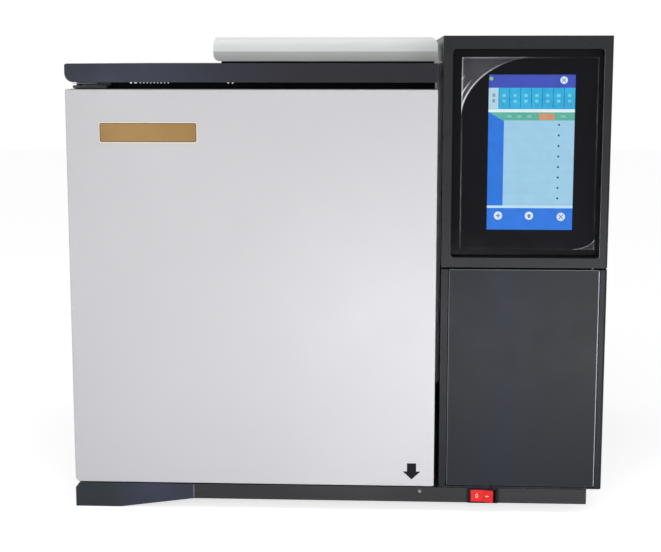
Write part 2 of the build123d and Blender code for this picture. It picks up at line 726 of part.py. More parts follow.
def make_hood():
    lid = hood_form(0) - hood_form(hood_wall)
    mouth_x0, mouth_x1 = hood_x0 + hood_low_r, hood_x1 - hood_wall
    mouth_y0 = hood_front + hood_undercut + hood_wall
    lid -= block(mouth_x0, mouth_x1, mouth_y0, hood_y1 - hood_wall, hood_z0, hood_z0 + hood_wall)
    axis_y = hood_y1 - hood_boss_r
    axis_z = hood_z0 + hood_axis_h
    posts = []
    for x, way in ((hood_x0 + hood_post_in, 1), (hood_x1 - hood_post_in, -1)):
        pin_x = x + way * (hood_post_w + hood_pin_l)
        boss_x = pin_x - way * (hood_pin_l - hole_gap)
        lid += rod(boss_x, axis_y, axis_z, (way, 0, 0), hood_boss_r, hood_pin_l + hood_wall)
        x0, x1 = min(x, x + way * hood_post_w), max(x, x + way * hood_post_w)
        lid -= block(x0 - hole_gap, x1 + hole_gap, hood_y1 - hood_wall * 2, hood_y1, hood_z0,
                     axis_z + hood_boss_r * 2)
        lid -= rod(boss_x, axis_y, axis_z, (way, 0, 0), hood_pin_r + fit_gap, hood_pin_l + rest_gap)
        foot = hood_pin_r + hood_wall / 2
        post = block(x0, x1, axis_y - foot * 2, axis_y + hood_pin_r, deck_z1, axis_z)
        post += rod(x, axis_y, axis_z, (way, 0, 0), hood_pin_r, hood_post_w + hood_pin_l)
        post += block(x0, x1, axis_y - hood_post_w * 2, axis_y - foot, deck_z1, deck_z1 + hood_seat_t)
        posts.append(post)
    keep("hood_lid", lid)
    keep("hood_hinge_posts", *posts)

    x0, x1 = mouth_x0 + seat_gap, mouth_x1 - seat_gap
    y0, y1 = mouth_y0 + seat_gap, axis_y - hood_post_w * 3
    rim = block(x0, x1, y0, y1, deck_z1, hood_z0 + seat_rise)
    keep("hood_seat", rim - block(x0 + sheet, x1 - sheet, y0 + sheet, y1, deck_z1, hood_z0 + seat_rise))


def make_ports():
    """Two injectors and two detectors that stand through the deck into the oven."""
    stem_z0 = oven_z + cavity_h / 2 - port_in
    head_z = deck_z1 + injector_head
    injectors = []
    nuts = []
    for x in port_x[:2]:
        stem = rod(x, port_y, stem_z0, (0, 0, 1), injector_r, head_z - stem_z0)
        collar = Pos(x, port_y) * RegularPolygon(injector_head_r, 6)
        stem += plan_shape(collar, deck_z1, head_z)
        stem += rod(x, port_y, stem_z0 - injector_head, (0, 0, 1), injector_r / 2, injector_head)
        injectors.append(stem)
        nut = rod(x, port_y, head_z, (0, 0, 1), nut_r, nut_h)
        nuts.append(nut - rod(x, port_y, head_z, (0, 0, 1), needle_r, nut_h))
    keep("injectors", *injectors)
    keep("septum_nuts", *nuts)

    x = port_x[2]
    flame = rod(x, port_y, stem_z0, (0, 0, 1), detector_r, deck_z1 - stem_z0)
    flame += Pos(x, port_y, deck_z1 + flame_h * 0.3) * Cone(flame_r, flame_r * 0.8, flame_h * 0.6)
    flame += rod(x, port_y, deck_z1, (0, 0, 1), flame_cap_r, flame_h)
    flame -= rod(x, port_y, deck_z1 + flame_h * 0.6, (0, 0, 1), flame_cap_r * 0.6, flame_h)
    keep("flame_detector", flame)

    x = port_x[3]
    thermal = rod(x, port_y, stem_z0, (0, 0, 1), detector_r, deck_z1 - stem_z0)
    half = thermal_w / 2
    body = block(x - half, x + half, port_y - half, port_y + half, deck_z1, deck_z1 + thermal_h)
    keep("thermal_detector", thermal + chamfer(body.edges().filter_by(Axis.Z), thermal_bevel))


# ---- tower ----------------------------------------------------------------------------------
def make_tower_front():
    bezel = block(tower_x0, tower_x1, 0, bezel_d, split_z, tower_z1)
    right = bezel.edges().filter_by(Axis.Z).sort_by(Axis.X)[-2:].sort_by(Axis.Y)[0]
    bezel = fillet(right, bezel_r)
    x0, x1 = tower_x0 + recess_in, tower_x1 - recess_right
    z0, z1 = split_z + recess_low, tower_z1 - recess_top
    window = rounded(x0, x1, z0, z1, recess_r)
    bezel -= front_shape(window, 0, bezel_in)
    bezel -= front_shape(rounded(x0 + ledge_w, x1 - ledge_w, z0 + ledge_w, z1 - ledge_w, recess_r), bezel_in,
                         bezel_d)
    keep("screen_bezel", bezel)

    glass = rounded(x0 + glass_gap, x1 - glass_gap, z0 + glass_gap, z1 - glass_gap, recess_r)
    keep("display_glass", front_shape(glass, recess_d, bezel_in))
    lit_x = tower_x0 + screen_x
    lit_z = split_z + screen_low
    module = block(lit_x - module_rim, lit_x + screen_w + module_rim, bezel_in, bezel_in + module_t,
                   lit_z - module_rim, lit_z + screen_h + module_rim)
    keep("display_panel", module)
    board_y = bezel_in + module_t
    board = block(lit_x, lit_x + screen_w, board_y + board_gap, board_y + board_gap + board_t, lit_z,
                  lit_z + screen_h)
    for x in (lit_x + module_rim, lit_x + screen_w - module_rim):
        for z in (lit_z + module_rim, lit_z + screen_h - module_rim):
            board += hex_front(x, z, screw_r, board_y, board_y + board_gap)
    chip = screen_w / 5
    chip_z = lit_z + screen_h / 2
    board += block(lit_x + 2 * chip, lit_x + 3 * chip, board_y + board_gap + board_t,
                   board_y + board_gap + 2 * board_t, chip_z, chip_z + chip)
    keep("control_board", board)


def make_tower_covers():
    cover = block(tower_x0, tower_x1, bezel_d, rear_in, base_h, tower_z1)
    inner_x0, inner_x1 = tower_x0 + tower_wall, tower_x1 - tower_wall
    cover -= block(inner_x0, inner_x1, bezel_d, rear_in, base_h, tower_z1 - tower_wall)
    cover -= block(tower_x0, tower_x1, bezel_d, frame_d, base_h, split_z)
    slots = []
    for n in range(vents):
        z = fan_centre_z + (n - (vents - 1) / 2) * vent_pitch
        slots.append(block(inner_x1, tower_x1, rear_in - vent_l * 1.5, rear_in - vent_l / 2, z - vent_w / 2,
                           z + vent_w / 2))
    keep("tower_cover", cut_all(cover, slots))

    frame = block(tower_x0, tower_x1, 0, frame_d, base_h, split_z)
    right = frame.edges().filter_by(Axis.Z).sort_by(Axis.X)[-2:].sort_by(Axis.Y)[0]
    frame = fillet(right, bezel_r)
    pocket_y1 = service_t + service_back_gap
    x0, x1 = tower_x0 + frame_strip, tower_x1 - frame_strip
    frame -= block(x0, x1, 0, pocket_y1, base_h + frame_lip, split_z)
    frame -= block(x0 + bay_wall, x1 - bay_wall, pocket_y1, frame_d, base_h + frame_lip + bay_wall,
                   split_z - bay_wall)
    frame -= block(tower_x0, tower_x1, 0, split_d, split_z - split_gap, split_z)
    frame -= rod(*service_pivot, base_h, (0, 0, 1), service_pin_r, frame_lip)
    keep("service_frame", frame)

    pins = [rod(*service_pivot, base_h, (0, 0, 1), service_pin_r, frame_lip + service_gap + service_pin_l),
            rod(*service_pivot, split_z + bezel_wall, (0, 0, -1), service_pin_r,
                bezel_wall + split_gap + service_pin_l)]
    nodes["screen_bezel"] = [nodes["screen_bezel"][0] - pins[1]]
    keep("service_hinge_pins", *pins)


def make_service_door():
    """Folded door between the strips, with pin bosses at its right edge and a finger scoop."""
    x0, x1, z0, z1 = service_x0, service_x1, service_z0, service_z1
    wall = service_wall
    door = block(x0, x1, 0, service_t, z0, z1)
    door -= block(x0 + wall, x1 - wall, wall, service_t, z0 + wall, z1 - wall)
    for z, way in ((z0, 1), (z1, -1)):
        boss = rod(*service_pivot, z, (0, 0, way), service_boss_r, service_pin_l + wall)
        door += boss
        door -= rod(*service_pivot, z, (0, 0, way), service_pin_r + fit_gap, service_pin_l + rest_gap)
    mid = (z0 + z1) / 2
    door -= block(x0, x0 + wall, service_t - wall * 5, service_t, mid - service_grip_w / 2,
                  mid + service_grip_w / 2)
    keep("service_door", door)


def knob_heights():
    return [base_h + knob_low + knob_pitch * n for n in range(3)]


def make_gas_panel():
    x0, x1 = tower_x0 + tower_wall, tower_x1 - tower_wall
    panel = block(x0, x1, panel_y0, panel_y0 + gas_panel_t, base_h, split_z - bay_wall / 2)
    regulators = []
    for z in knob_heights():
        panel -= hex_front(knob_x, z, regulator_nut_r, panel_y0, panel_y0 + gas_panel_t)
        body_y = panel_y0 + gas_panel_t
        regulator = block(knob_x - regulator_r, knob_x + regulator_r, body_y, body_y + regulator_l,
                          z - regulator_r, z + regulator_r)
        regulator = chamfer(regulator.edges().filter_by(Axis.Y), regulator_bevel)
        regulator += hex_front(knob_x, z, regulator_nut_r, panel_y0, body_y)
        across = Plane(origin=(knob_x, body_y + regulator_l / 2, z), z_dir=(1, 0, 0))
        port = across * RegularPolygon(regulator_port_r, 6)
        regulator += extrude(port, amount=regulator_port_l / 2, both=True)
        regulators.append(regulator - rod(knob_x, panel_y0, z, (0, 1, 0), stem_r + fit_gap, stem_l))
    keep("gas_panel", panel)
    keep("pressure_regulators", *regulators)
    for name, z in zip(("carrier_knob", "hydrogen_knob", "air_knob"), knob_heights()):
        keep(name, knob(z))


def knob(z):
    """Fluted knob on its stem."""
    outline = Circle(knob_r)
    for n in range(knob_flutes):
        turn = Rot(0, 0, 360 / knob_flutes * n)
        outline -= turn * Pos(knob_r + knob_flute_r / 2, 0) * Circle(knob_flute_r)
    y1 = panel_y0 - knob_gap
    body = front_shape(Pos(knob_x, z) * outline, y1 - knob_l, y1)
    body += rod(knob_x, y1 - knob_l / 3, z, (0, 1, 0), knob_r + knob_gap, knob_l / 3)
    return body + rod(knob_x, y1, z, (0, 1, 0), stem_r, knob_gap + stem_l - rest_gap)


# ---- mains switch ---------------------------------------------------------------------------
def make_switch():
    """Bezel and box in the skirt, with a see-saw rocker that rests with one wing pressed in."""
    half_h = switch_h / 2
    x0, x1 = switch_x, switch_x + switch_w
    z0, z1 = switch_z - half_h, switch_z + half_h
    inner_z0, inner_z1 = z0 + switch_lip + switch_wall, z1 - switch_lip - switch_wall
    body = block(x0, x1, -switch_rim_t, 0, z0, z1)
    body = fillet(body.edges().filter_by(Axis.Y), switch_rim / 2)
    body += block(x0 + switch_rim, x1 - switch_rim, 0, switch_body_t, z0 + switch_lip, z1 - switch_lip)
    room = switch_w / 2 - switch_rim - switch_wall
    deep = switch_body_t - switch_floor
    body -= block(rocker_x - room, rocker_x + room, -switch_rim_t, deep, inner_z0, inner_z1)
    body += rod(rocker_x, rocker_pivot_y, inner_z0, (0, 0, 1), rocker_pivot_r, inner_z1 - inner_z0)
    keep("switch_body", body)

    front = -switch_rim_t
    wing = rocker_half
    points = [(-wing, front - rocker_wing / 2), (0, front + rocker_wing / 4),
              (wing, front - rocker_wing / 2), (wing, front + rocker_wing),
              (rocker_root, deep - rocker_wing), (-rocker_root, deep - rocker_wing),
              (-wing, front + rocker_wing)]
    outline = make_face(Polyline(*points, close=True))
    outline -= Pos(0, rocker_pivot_y) * Circle(rocker_pivot_r + fit_gap)
    tilted = Pos(rocker_x, rocker_pivot_y) * Rot(0, 0, -rocker_tilt) * Pos(0, -rocker_pivot_y) * outline
    keep("switch_rocker", plan_shape(tilted, inner_z0 + rocker_gap, inner_z1 - rocker_gap))


# ---- inside and behind ----------------------------------------------------------------------
def make_electronics():
    x0 = tower_mid - core_w / 2
    x1 = x0 + core_w
    y1 = rear_in - core_back
    y0 = y1 - core_d
    z0, z1 = tray_floor + core_limb, tray_floor + core_h - core_limb
    coil_x0, coil_x1 = x0 + core_limb, x1 - core_limb
    leg_x0, leg_x1 = coil_x0 + core_limb, coil_x1 - core_limb
    core = block(x0, x1, y0, y1, tray_floor, tray_floor + core_h)
    core -= block(coil_x0, leg_x0, y0, y1, z0, z1)
    core -= block(leg_x1, coil_x1, y0, y1, z0, z1)
    winding = block(coil_x0, coil_x1, y0 - coil_out, y1 + coil_out, z0, z1)
    winding = chamfer(winding.edges().filter_by(Axis.Z), core_limb / 2)
    winding -= block(leg_x0, leg_x1, y0, y1, z0, z1)
    keep("power_transformer", core, winding)

    x = tower_x0 + tower_wall + board_gap
    y0 = frame_d + regulator_l * 2
    z0 = base_h + core_h + board_gap
    board = block(x, x + board_t, y0, y0 + main_board_d, z0, z0 + main_board_h)
    for y in (y0 + module_rim, y0 + main_board_d - module_rim):
        for z in (z0 + module_rim, z0 + main_board_h - module_rim):
            board += block(x - board_gap, x, y - screw_r, y + screw_r, z - screw_r, z + screw_r)
    for n in range(3):
        y = y0 + sink_in + sink_pitch * n
        board += block(x + board_t, x + board_t + sink_t, y, y + sink_w, z0 + sink_low, z0 + sink_low + sink_h)
    keep("main_board", board)

    y0 = rear_in - fan_frame_t
    half = fan_size / 2
    frame = front_shape(rounded(tower_mid - half, tower_mid + half, fan_centre_z - half, fan_centre_z + half,
                                screw_r), y0, rear_in)
    frame -= rod(tower_mid, y0, fan_centre_z, (0, 1, 0), fan_bore_r, fan_frame_t)
    frame += rod(tower_mid, y0, fan_centre_z, (0, 1, 0), rotor_hub_r, screw_r)
    for turn in range(4):
        strut = Pos(tower_mid, fan_centre_z) * Rot(0, 0, 45 + 90 * turn) * flat(
            rotor_hub_r / 2, fan_bore_r + rotor_gap, -screw_r / 2, screw_r / 2)
        frame += front_shape(strut, y0, y0 + screw_r)
    frame += rod(tower_mid, y0, fan_centre_z, (0, 1, 0), screw_r, fan_frame_t / 2)
    keep("cooling_fan_frame", frame)

    hub_y0 = y0 + screw_r + rest_gap
    hub_l = fan_frame_t - screw_r - rest_gap * 4
    rotor = rod(tower_mid, hub_y0, fan_centre_z, (0, 1, 0), rotor_hub_r, hub_l)
    reach = fan_bore_r - rotor_gap - rotor_hub_r / 2
    for n in range(rotor_blades):
        blade = Pos(rotor_hub_r / 2 + reach / 2, 0, 0) * Rot(35, 0, 0) * Box(reach, hub_l, fan_blade_t)
        place = Pos(tower_mid, hub_y0 + hub_l / 2, fan_centre_z) * Rot(0, 360 / rotor_blades * n, 0)
        rotor += place * blade
    rotor -= rod(tower_mid, y0, fan_centre_z, (0, 1, 0), screw_r + fit_gap, fan_frame_t / 2 + rest_gap)
    keep("cooling_fan_rotor", rotor)


def make_exhaust():
    """Duct from the oven's back wall to the rear panel, with a flap near its mouth."""
    x, z = oven_x - duct_x, oven_z + duct_z
    duct = block(x - duct_w / 2, x + duct_w / 2, cavity_y1, rear_in, z - duct_h / 2, z + duct_h / 2)
    inner_w, inner_h = duct_w / 2 - thin_sheet, duct_h / 2 - thin_sheet
    duct -= block(x - inner_w, x + inner_w, cavity_y1, rear_in, z - inner_h, z + inner_h)
    shaft_y = rear_in - flap_set
    duct -= rod(x - duct_w / 2, shaft_y, z, (1, 0, 0), flap_shaft_r + fit_gap, duct_w)
    keep("exhaust_duct", duct)
    flap = block(x - inner_w + rest_gap, x + inner_w - rest_gap, shaft_y - flap_t / 2, shaft_y + flap_t / 2,
                 z - inner_h + rest_gap * 2, z + inner_h - rest_gap * 2)
    flap += rod(x - duct_w / 2 - flap_set / 4, shaft_y, z, (1, 0, 0), flap_shaft_r, duct_w + flap_set / 2)
    keep("exhaust_flap", flap)


def make_rear():
    oven_panel = block(side_x0, side_x1 + sheet, rear_in, body_d, base_h, under_deck)
    x, z = oven_x - duct_x, oven_z + duct_z
    inner_w, inner_h = duct_w / 2 - thin_sheet, duct_h / 2 - thin_sheet
    oven_panel -= block(x - inner_w, x + inner_w, rear_in, body_d, z - inner_h, z + inner_h)
    grille = []
    for n in range(vents):
        low = oven_z - cavity_h / 2 + n * vent_pitch
        grille.append(block(oven_x - vent_l, oven_x + vent_l, rear_in, body_d, low, low + vent_w))
    keep("rear_panel", cut_all(oven_panel, grille))

    panel = block(tower_x0, tower_x1, rear_in, body_d, base_h, tower_z1)
    rows = int(fan_bore_r / grille_pitch)
    grille = []
    for n in range(-rows, rows + 1):
        mid = fan_centre_z + n * grille_pitch
        half = (fan_bore_r ** 2 - (n * grille_pitch) ** 2) ** 0.5 - screw_r
        grille.append(block(tower_mid - half, tower_mid + half, rear_in, body_d, mid - vent_w / 2,
                            mid + vent_w / 2))
    panel = cut_all(panel, grille)

    unions = []
    for n in range(fittings):
        fx = tower_mid + (n - (fittings - 1) / 2) * fitting_pitch
        panel -= rod(fx, rear_in, fitting_z, (0, 1, 0), fitting_r, rear_sheet)
        union = rod(fx, rear_in, fitting_z, (0, 1, 0), fitting_r, fitting_l + rear_sheet)
        union += hex_front(fx, fitting_z, fitting_nut_r, body_d, body_d + fitting_nut_t)
        union += hex_front(fx, fitting_z, fitting_nut_r, rear_in - fitting_nut_t, rear_in)
        union -= rod(fx, body_d + fitting_l, fitting_z, (0, -1, 0), tube_bore_r, tube_bore_l)
        unions.append(union)
    keep("gas_fittings", *unions)

    half_w, half_h = inlet_body_w / 2, inlet_body_h / 2
    panel -= block(tower_mid - half_w, tower_mid + half_w, rear_in, body_d, inlet_z - half_h, inlet_z + half_h)
    flange = rounded(tower_mid - inlet_w / 2, tower_mid + inlet_w / 2, inlet_z - inlet_h / 2,
                     inlet_z + inlet_h / 2, inlet_t)
    inlet = front_shape(flange, body_d, body_d + inlet_t)
    inlet += block(tower_mid - half_w, tower_mid + half_w, body_d - inlet_body_d, body_d, inlet_z - half_h,
                   inlet_z + half_h)
    pin_y = body_d + inlet_t - inlet_depth
    inlet -= block(tower_mid - half_w + inlet_wall, tower_mid + half_w - inlet_wall, pin_y, body_d + inlet_t,
                   inlet_z - half_h + inlet_wall, inlet_z + half_h - inlet_wall)
    for n in (-1, 0, 1):
        px = tower_mid + n * inlet_wall * 3.5
        pz = inlet_z + (inlet_pin_w if n == 0 else -inlet_pin_w)
        inlet += block(px - inlet_pin_w / 2, px + inlet_pin_w / 2, pin_y - inlet_pin_w, body_d - inlet_t,
                       pz - inlet_pin_w, pz + inlet_pin_w)
    keep("power_inlet", inlet)

    panel -= block(tower_mid - port_w / 2, tower_mid + port_w / 2, rear_in, body_d, port_z - port_h / 2,
                   port_z + port_h / 2)
    port = block(tower_mid - port_w / 2, tower_mid + port_w / 2, body_d - port_d, body_d, port_z - port_h / 2,
                 port_z + port_h / 2)
    rim = inlet_wall
    port -= block(tower_mid - port_w / 2 + rim, tower_mid + port_w / 2 - rim, body_d - port_d / 2, body_d,
                  port_z - port_h / 2 + rim, port_z + port_h / 2 - rim)
    keep("data_port", port)
    keep("tower_rear_panel", panel)

    screws = []
    for px in (side_x0 + screw_in, oven_x, side_x1 - screw_in):
        for pz in (base_h + screw_in, under_deck - screw_in):
            screws.append((px, pz))
    for px in (tower_x0 + screw_in, tower_x1 - screw_in):
        for pz in (base_h + screw_in, split_z, tower_z1 - screw_in):
            screws.append((px, pz))
    keep("cover_screws", *[hex_front(px, pz, screw_r, body_d, body_d + screw_t) for px, pz in screws])


def main():
    make_base()
    make_oven_covers()
    make_oven()
    make_door()
    make_catch()
    make_oven_hinge()
    make_hood()
    make_ports()
    make_tower_front()
    make_tower_covers()
    make_service_door()
    make_gas_panel()
    make_switch()
    make_electronics()
    make_exhaust()
    make_rear()
    whole = Compound([solid for solids in nodes.values() for solid in solids]).bounding_box()
    shift = Pos(-(whole.min.X + whole.max.X) / 2, -(whole.min.Y + whole.max.Y) / 2, -whole.min.Z)
    os.makedirs("parts", exist_ok=True)
    for name, solids in nodes.items():
        moved = [shift * solid for solid in solids]
        shape = moved[0] if len(moved) == 1 else Compound(moved)
        export_step(shape, f"parts/{name}.step")
    print("nodes", len(nodes), "origin moved by", shift.position)
    print("overall size", whole.size)


main()
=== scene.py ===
import bpy
import bmesh
import json
import math
import random
from mathutils import Matrix, Vector


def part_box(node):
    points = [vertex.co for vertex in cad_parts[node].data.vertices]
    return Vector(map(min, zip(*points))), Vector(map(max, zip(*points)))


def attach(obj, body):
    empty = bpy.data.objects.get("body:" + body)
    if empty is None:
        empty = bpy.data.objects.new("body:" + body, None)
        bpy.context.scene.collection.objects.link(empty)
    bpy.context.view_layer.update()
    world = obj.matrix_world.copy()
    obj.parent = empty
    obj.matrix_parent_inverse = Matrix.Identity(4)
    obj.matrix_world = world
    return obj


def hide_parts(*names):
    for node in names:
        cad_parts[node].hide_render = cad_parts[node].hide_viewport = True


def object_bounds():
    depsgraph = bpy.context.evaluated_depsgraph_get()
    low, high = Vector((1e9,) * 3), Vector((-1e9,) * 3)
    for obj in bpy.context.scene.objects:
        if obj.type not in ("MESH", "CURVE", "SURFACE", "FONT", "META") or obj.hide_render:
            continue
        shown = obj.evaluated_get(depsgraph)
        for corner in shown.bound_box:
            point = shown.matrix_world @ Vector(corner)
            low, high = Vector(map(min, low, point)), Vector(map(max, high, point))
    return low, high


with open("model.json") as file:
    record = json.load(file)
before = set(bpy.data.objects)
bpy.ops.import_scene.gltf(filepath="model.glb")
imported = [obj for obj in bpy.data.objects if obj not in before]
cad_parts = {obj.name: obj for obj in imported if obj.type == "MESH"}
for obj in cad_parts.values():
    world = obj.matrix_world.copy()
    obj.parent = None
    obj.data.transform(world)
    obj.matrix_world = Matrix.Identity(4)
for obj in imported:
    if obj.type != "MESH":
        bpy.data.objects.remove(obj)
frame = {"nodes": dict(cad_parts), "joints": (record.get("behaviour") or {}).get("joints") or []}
cadLow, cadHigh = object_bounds()
mm = 0.001
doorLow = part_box("door_skin")[0]
frontPlane = doorLow.y
print("frame loaded,", len(frame["nodes"]), "nodes")

# shader groups

def newGroup(name, inputs, outputs):
    tree = bpy.data.node_groups.new(name, "ShaderNodeTree")
    kinds = {"f": "NodeSocketFloat", "c": "NodeSocketColor", "v": "NodeSocketVector"}
    for label, kind, value in inputs:
        socket = tree.interface.new_socket(label, in_out="INPUT", socket_type=kinds[kind])
        if value is not None:
            socket.default_value = value
    for label, kind in outputs:
        tree.interface.new_socket(label, in_out="OUTPUT", socket_type=kinds[kind])
    return tree, tree.nodes.new("NodeGroupInput"), tree.nodes.new("NodeGroupOutput")


def node(tree, kind, **settings):
    made = tree.nodes.new(kind)
    for key, value in settings.items():
        setattr(made, key, value)
    return made


def noiseNode(tree, vector, scale, detail=2.0, rough=0.5):
    made = node(tree, "ShaderNodeTexNoise")
    made.inputs["Detail"].default_value = detail
    made.inputs["Roughness"].default_value = rough
    tree.links.new(vector, made.inputs["Vector"])
    if isinstance(scale, float):
        made.inputs["Scale"].default_value = scale
    else:
        tree.links.new(scale, made.inputs["Scale"])
    return made


def ramp(tree, source, low, high, lowValue=0.0, highValue=1.0):
    made = node(tree, "ShaderNodeMapRange")
    made.inputs["From Min"].default_value = low
    made.inputs["From Max"].default_value = high
    made.inputs["To Min"].default_value = lowValue
    made.inputs["To Max"].default_value = highValue
    tree.links.new(source, made.inputs["Value"])
    return made.outputs["Result"]


def calc(tree, operation, *values, clamp=False):
    made = node(tree, "ShaderNodeMath", operation=operation, use_clamp=clamp)
    for socket, value in zip(made.inputs, values):
        if isinstance(value, float):
            socket.default_value = value
        else:
            tree.links.new(value, socket)
    return made.outputs[0]


def mixColor(tree, factor, first, second):
    made = node(tree, "ShaderNodeMix", data_type="RGBA")
    for socket, value in ((made.inputs[0], factor), (made.inputs[6], first), (made.inputs[7], second)):
        if isinstance(value, bpy.types.NodeSocket):
            tree.links.new(value, socket)
        elif isinstance(value, float):
            socket.default_value = value
        else:
            socket.default_value = (*value[:3], 1.0)
    return made.outputs[2]


def buildCoatGrain():
    # orange-peel powder coat: fine grain for the bump, slow mottling for the colour
    tree, inp, out = newGroup("coatGrain", (("Color", "c", (0.5, 0.5, 0.5, 1)), ("Mottle", "f", 0.04),
                                            ("Grain Scale", "f", 900.0), ("Grain", "f", 0.4),
                                            ("Rough", "f", 0.45), ("Rough Spread", "f", 0.08),
                                            ("Cast", "c", (0.5, 0.5, 0.5, 1)), ("Cast Amount", "f", 0.0),
                                            ("Cast X", "f", 0.0), ("Cast Half", "f", 1.0)),
                              (("Color", "c"), ("Roughness", "f"), ("Normal", "v")))
    where = node(tree, "ShaderNodeTexCoord").outputs["Object"]
    slow = noiseNode(tree, where, 7.0, 3.0)
    fine = noiseNode(tree, where, inp.outputs["Grain Scale"], 1.5)
    smear = noiseNode(tree, where, 38.0, 4.0, 0.6)
    swing = ramp(tree, slow.outputs["Fac"], 0.3, 0.7, -1.0, 1.0)
    value = calc(tree, "ADD", calc(tree, "MULTIPLY", swing, inp.outputs["Mottle"]), 1.0)
    tone = node(tree, "ShaderNodeHueSaturation")
    tree.links.new(value, tone.inputs["Value"])
    tree.links.new(inp.outputs["Color"], tone.inputs["Color"])
    # the cast is strongest at one place along the part and fades to both sides of it; on the dark coats it is a
    # painted bluish sheen, on the badge gold a tint of its own
    across = node(tree, "ShaderNodeSeparateXYZ")
    tree.links.new(where, across.inputs[0])
    away = calc(tree, "ABSOLUTE", calc(tree, "SUBTRACT", across.outputs["X"], inp.outputs["Cast X"]))
    near = calc(tree, "SUBTRACT", 1.0, calc(tree, "DIVIDE", away, inp.outputs["Cast Half"]))
    drift = ramp(tree, noiseNode(tree, where, 9.0, 2.0).outputs["Fac"], 0.35, 0.6, 0.3, 1.0)
    amount = calc(tree, "MULTIPLY", calc(tree, "MAXIMUM", near, 0.0), drift)
    cast = calc(tree, "MULTIPLY", amount, inp.outputs["Cast Amount"])
    tinted = mixColor(tree, cast, tone.outputs["Color"], inp.outputs["Cast"])
    tree.links.new(tinted, out.inputs["Color"])
    spread = calc(tree, "MULTIPLY_ADD", ramp(tree, smear.outputs["Fac"], 0.3, 0.7, -1.0, 1.0),
                  inp.outputs["Rough Spread"], inp.outputs["Rough"])
    tree.links.new(spread, out.inputs["Roughness"])
    bump = node(tree, "ShaderNodeBump")
    bump.inputs["Distance"].default_value = 0.00012
    tree.links.new(inp.outputs["Grain"], bump.inputs["Strength"])
    tree.links.new(fine.outputs["Fac"], bump.inputs["Height"])
    tree.links.new(bump.outputs["Normal"], out.inputs["Normal"])
    return tree


def buildBrushGrain():
    # long scratches along one axis, for rolled and brushed metal
    tree, inp, out = newGroup("brushGrain", (("Color", "c", (0.5, 0.5, 0.5, 1)), ("Stretch", "v", (8.0, 8.0, 900.0)),
                                             ("Depth", "f", 0.25), ("Rough", "f", 0.32)),
                              (("Color", "c"), ("Roughness", "f"), ("Normal", "v")))
    where = node(tree, "ShaderNodeTexCoord").outputs["Object"]
    scaled = node(tree, "ShaderNodeVectorMath", operation="MULTIPLY")
    tree.links.new(where, scaled.inputs[0])
    tree.links.new(inp.outputs["Stretch"], scaled.inputs[1])
    lines = noiseNode(tree, scaled.outputs[0], 1.0, 3.0, 0.65)
    cloud = noiseNode(tree, where, 14.0, 3.0)
    dark = mixColor(tree, 0.78, (0, 0, 0), inp.outputs["Color"])
    streaked = mixColor(tree, ramp(tree, lines.outputs["Fac"], 0.35, 0.6), dark, inp.outputs["Color"])
    tree.links.new(streaked, out.inputs["Color"])
    swing = ramp(tree, cloud.outputs["Fac"], 0.3, 0.7, -0.02, 0.03)
    tree.links.new(calc(tree, "ADD", swing, inp.outputs["Rough"]), out.inputs["Roughness"])
    bump = node(tree, "ShaderNodeBump")
    bump.inputs["Distance"].default_value = 0.00008
    tree.links.new(inp.outputs["Depth"], bump.inputs["Strength"])
    tree.links.new(lines.outputs["Fac"], bump.inputs["Height"])
    tree.links.new(bump.outputs["Normal"], out.inputs["Normal"])
    return tree


def buildEdgeWearAndLight():
    # a second colour where two faces meet, broken up by noise: paler edges are partly rub wear and partly painted edge
    # highlights, and darker ones are painted edge shade
    tree, inp, out = newGroup("edgeWearAndLight", (("Color", "c", (0.5, 0.5, 0.5, 1)), ("Worn", "c", (0.3, 0.3, 0.3, 1)),
                                           ("Amount", "f", 0.5), ("Radius", "f", 0.0008)),
                              (("Color", "c"), ("Mask", "f")))
    where = node(tree, "ShaderNodeTexCoord").outputs["Object"]
    soft = node(tree, "ShaderNodeBevel", samples=4)
    tree.links.new(inp.outputs["Radius"], soft.inputs["Radius"])
    flat = node(tree, "ShaderNodeNewGeometry")
    dot = node(tree, "ShaderNodeVectorMath", operation="DOT_PRODUCT")
    tree.links.new(soft.outputs["Normal"], dot.inputs[0])
    tree.links.new(flat.outputs["Normal"], dot.inputs[1])
    edge = ramp(tree, dot.outputs["Value"], 0.99, 0.80)
    chips = ramp(tree, noiseNode(tree, where, 160.0, 4.0, 0.7).outputs["Fac"], 0.42, 0.62)
    mask = calc(tree, "MULTIPLY", calc(tree, "MULTIPLY", edge, chips), inp.outputs["Amount"], clamp=True)
    tree.links.new(mixColor(tree, mask, inp.outputs["Color"], inp.outputs["Worn"]), out.inputs["Color"])
    tree.links.new(mask, out.inputs["Mask"])
    return tree


coatGrain = buildCoatGrain()
brushGrain = buildBrushGrain()
edgeWearAndLight = buildEdgeWearAndLight()

# materials

def newMaterial(name, **shader):
    made = bpy.data.materials.new(name)
    made.use_nodes = True
    bsdf = made.node_tree.nodes["Principled BSDF"]
    for key, value in shader.items():
        bsdf.inputs[key.replace("_", " ")].default_value = value
    return made, made.node_tree, bsdf


def placeGroup(tree, group, **values):
    made = node(tree, "ShaderNodeGroup", node_tree=group)
    for key, value in values.items():
        socket = made.inputs[key.replace("_", " ")]
        if isinstance(value, bpy.types.NodeSocket):
            tree.links.new(value, socket)
        elif socket.type == "RGBA":
            socket.default_value = (*value[:3], 1.0)
        else:
            socket.default_value = value
    return made


def linkSurface(tree, group, bsdf, labels=("Color", "Roughness", "Normal")):
    for label in labels:
        tree.links.new(group.outputs[label], bsdf.inputs["Base Color" if label == "Color" else label])


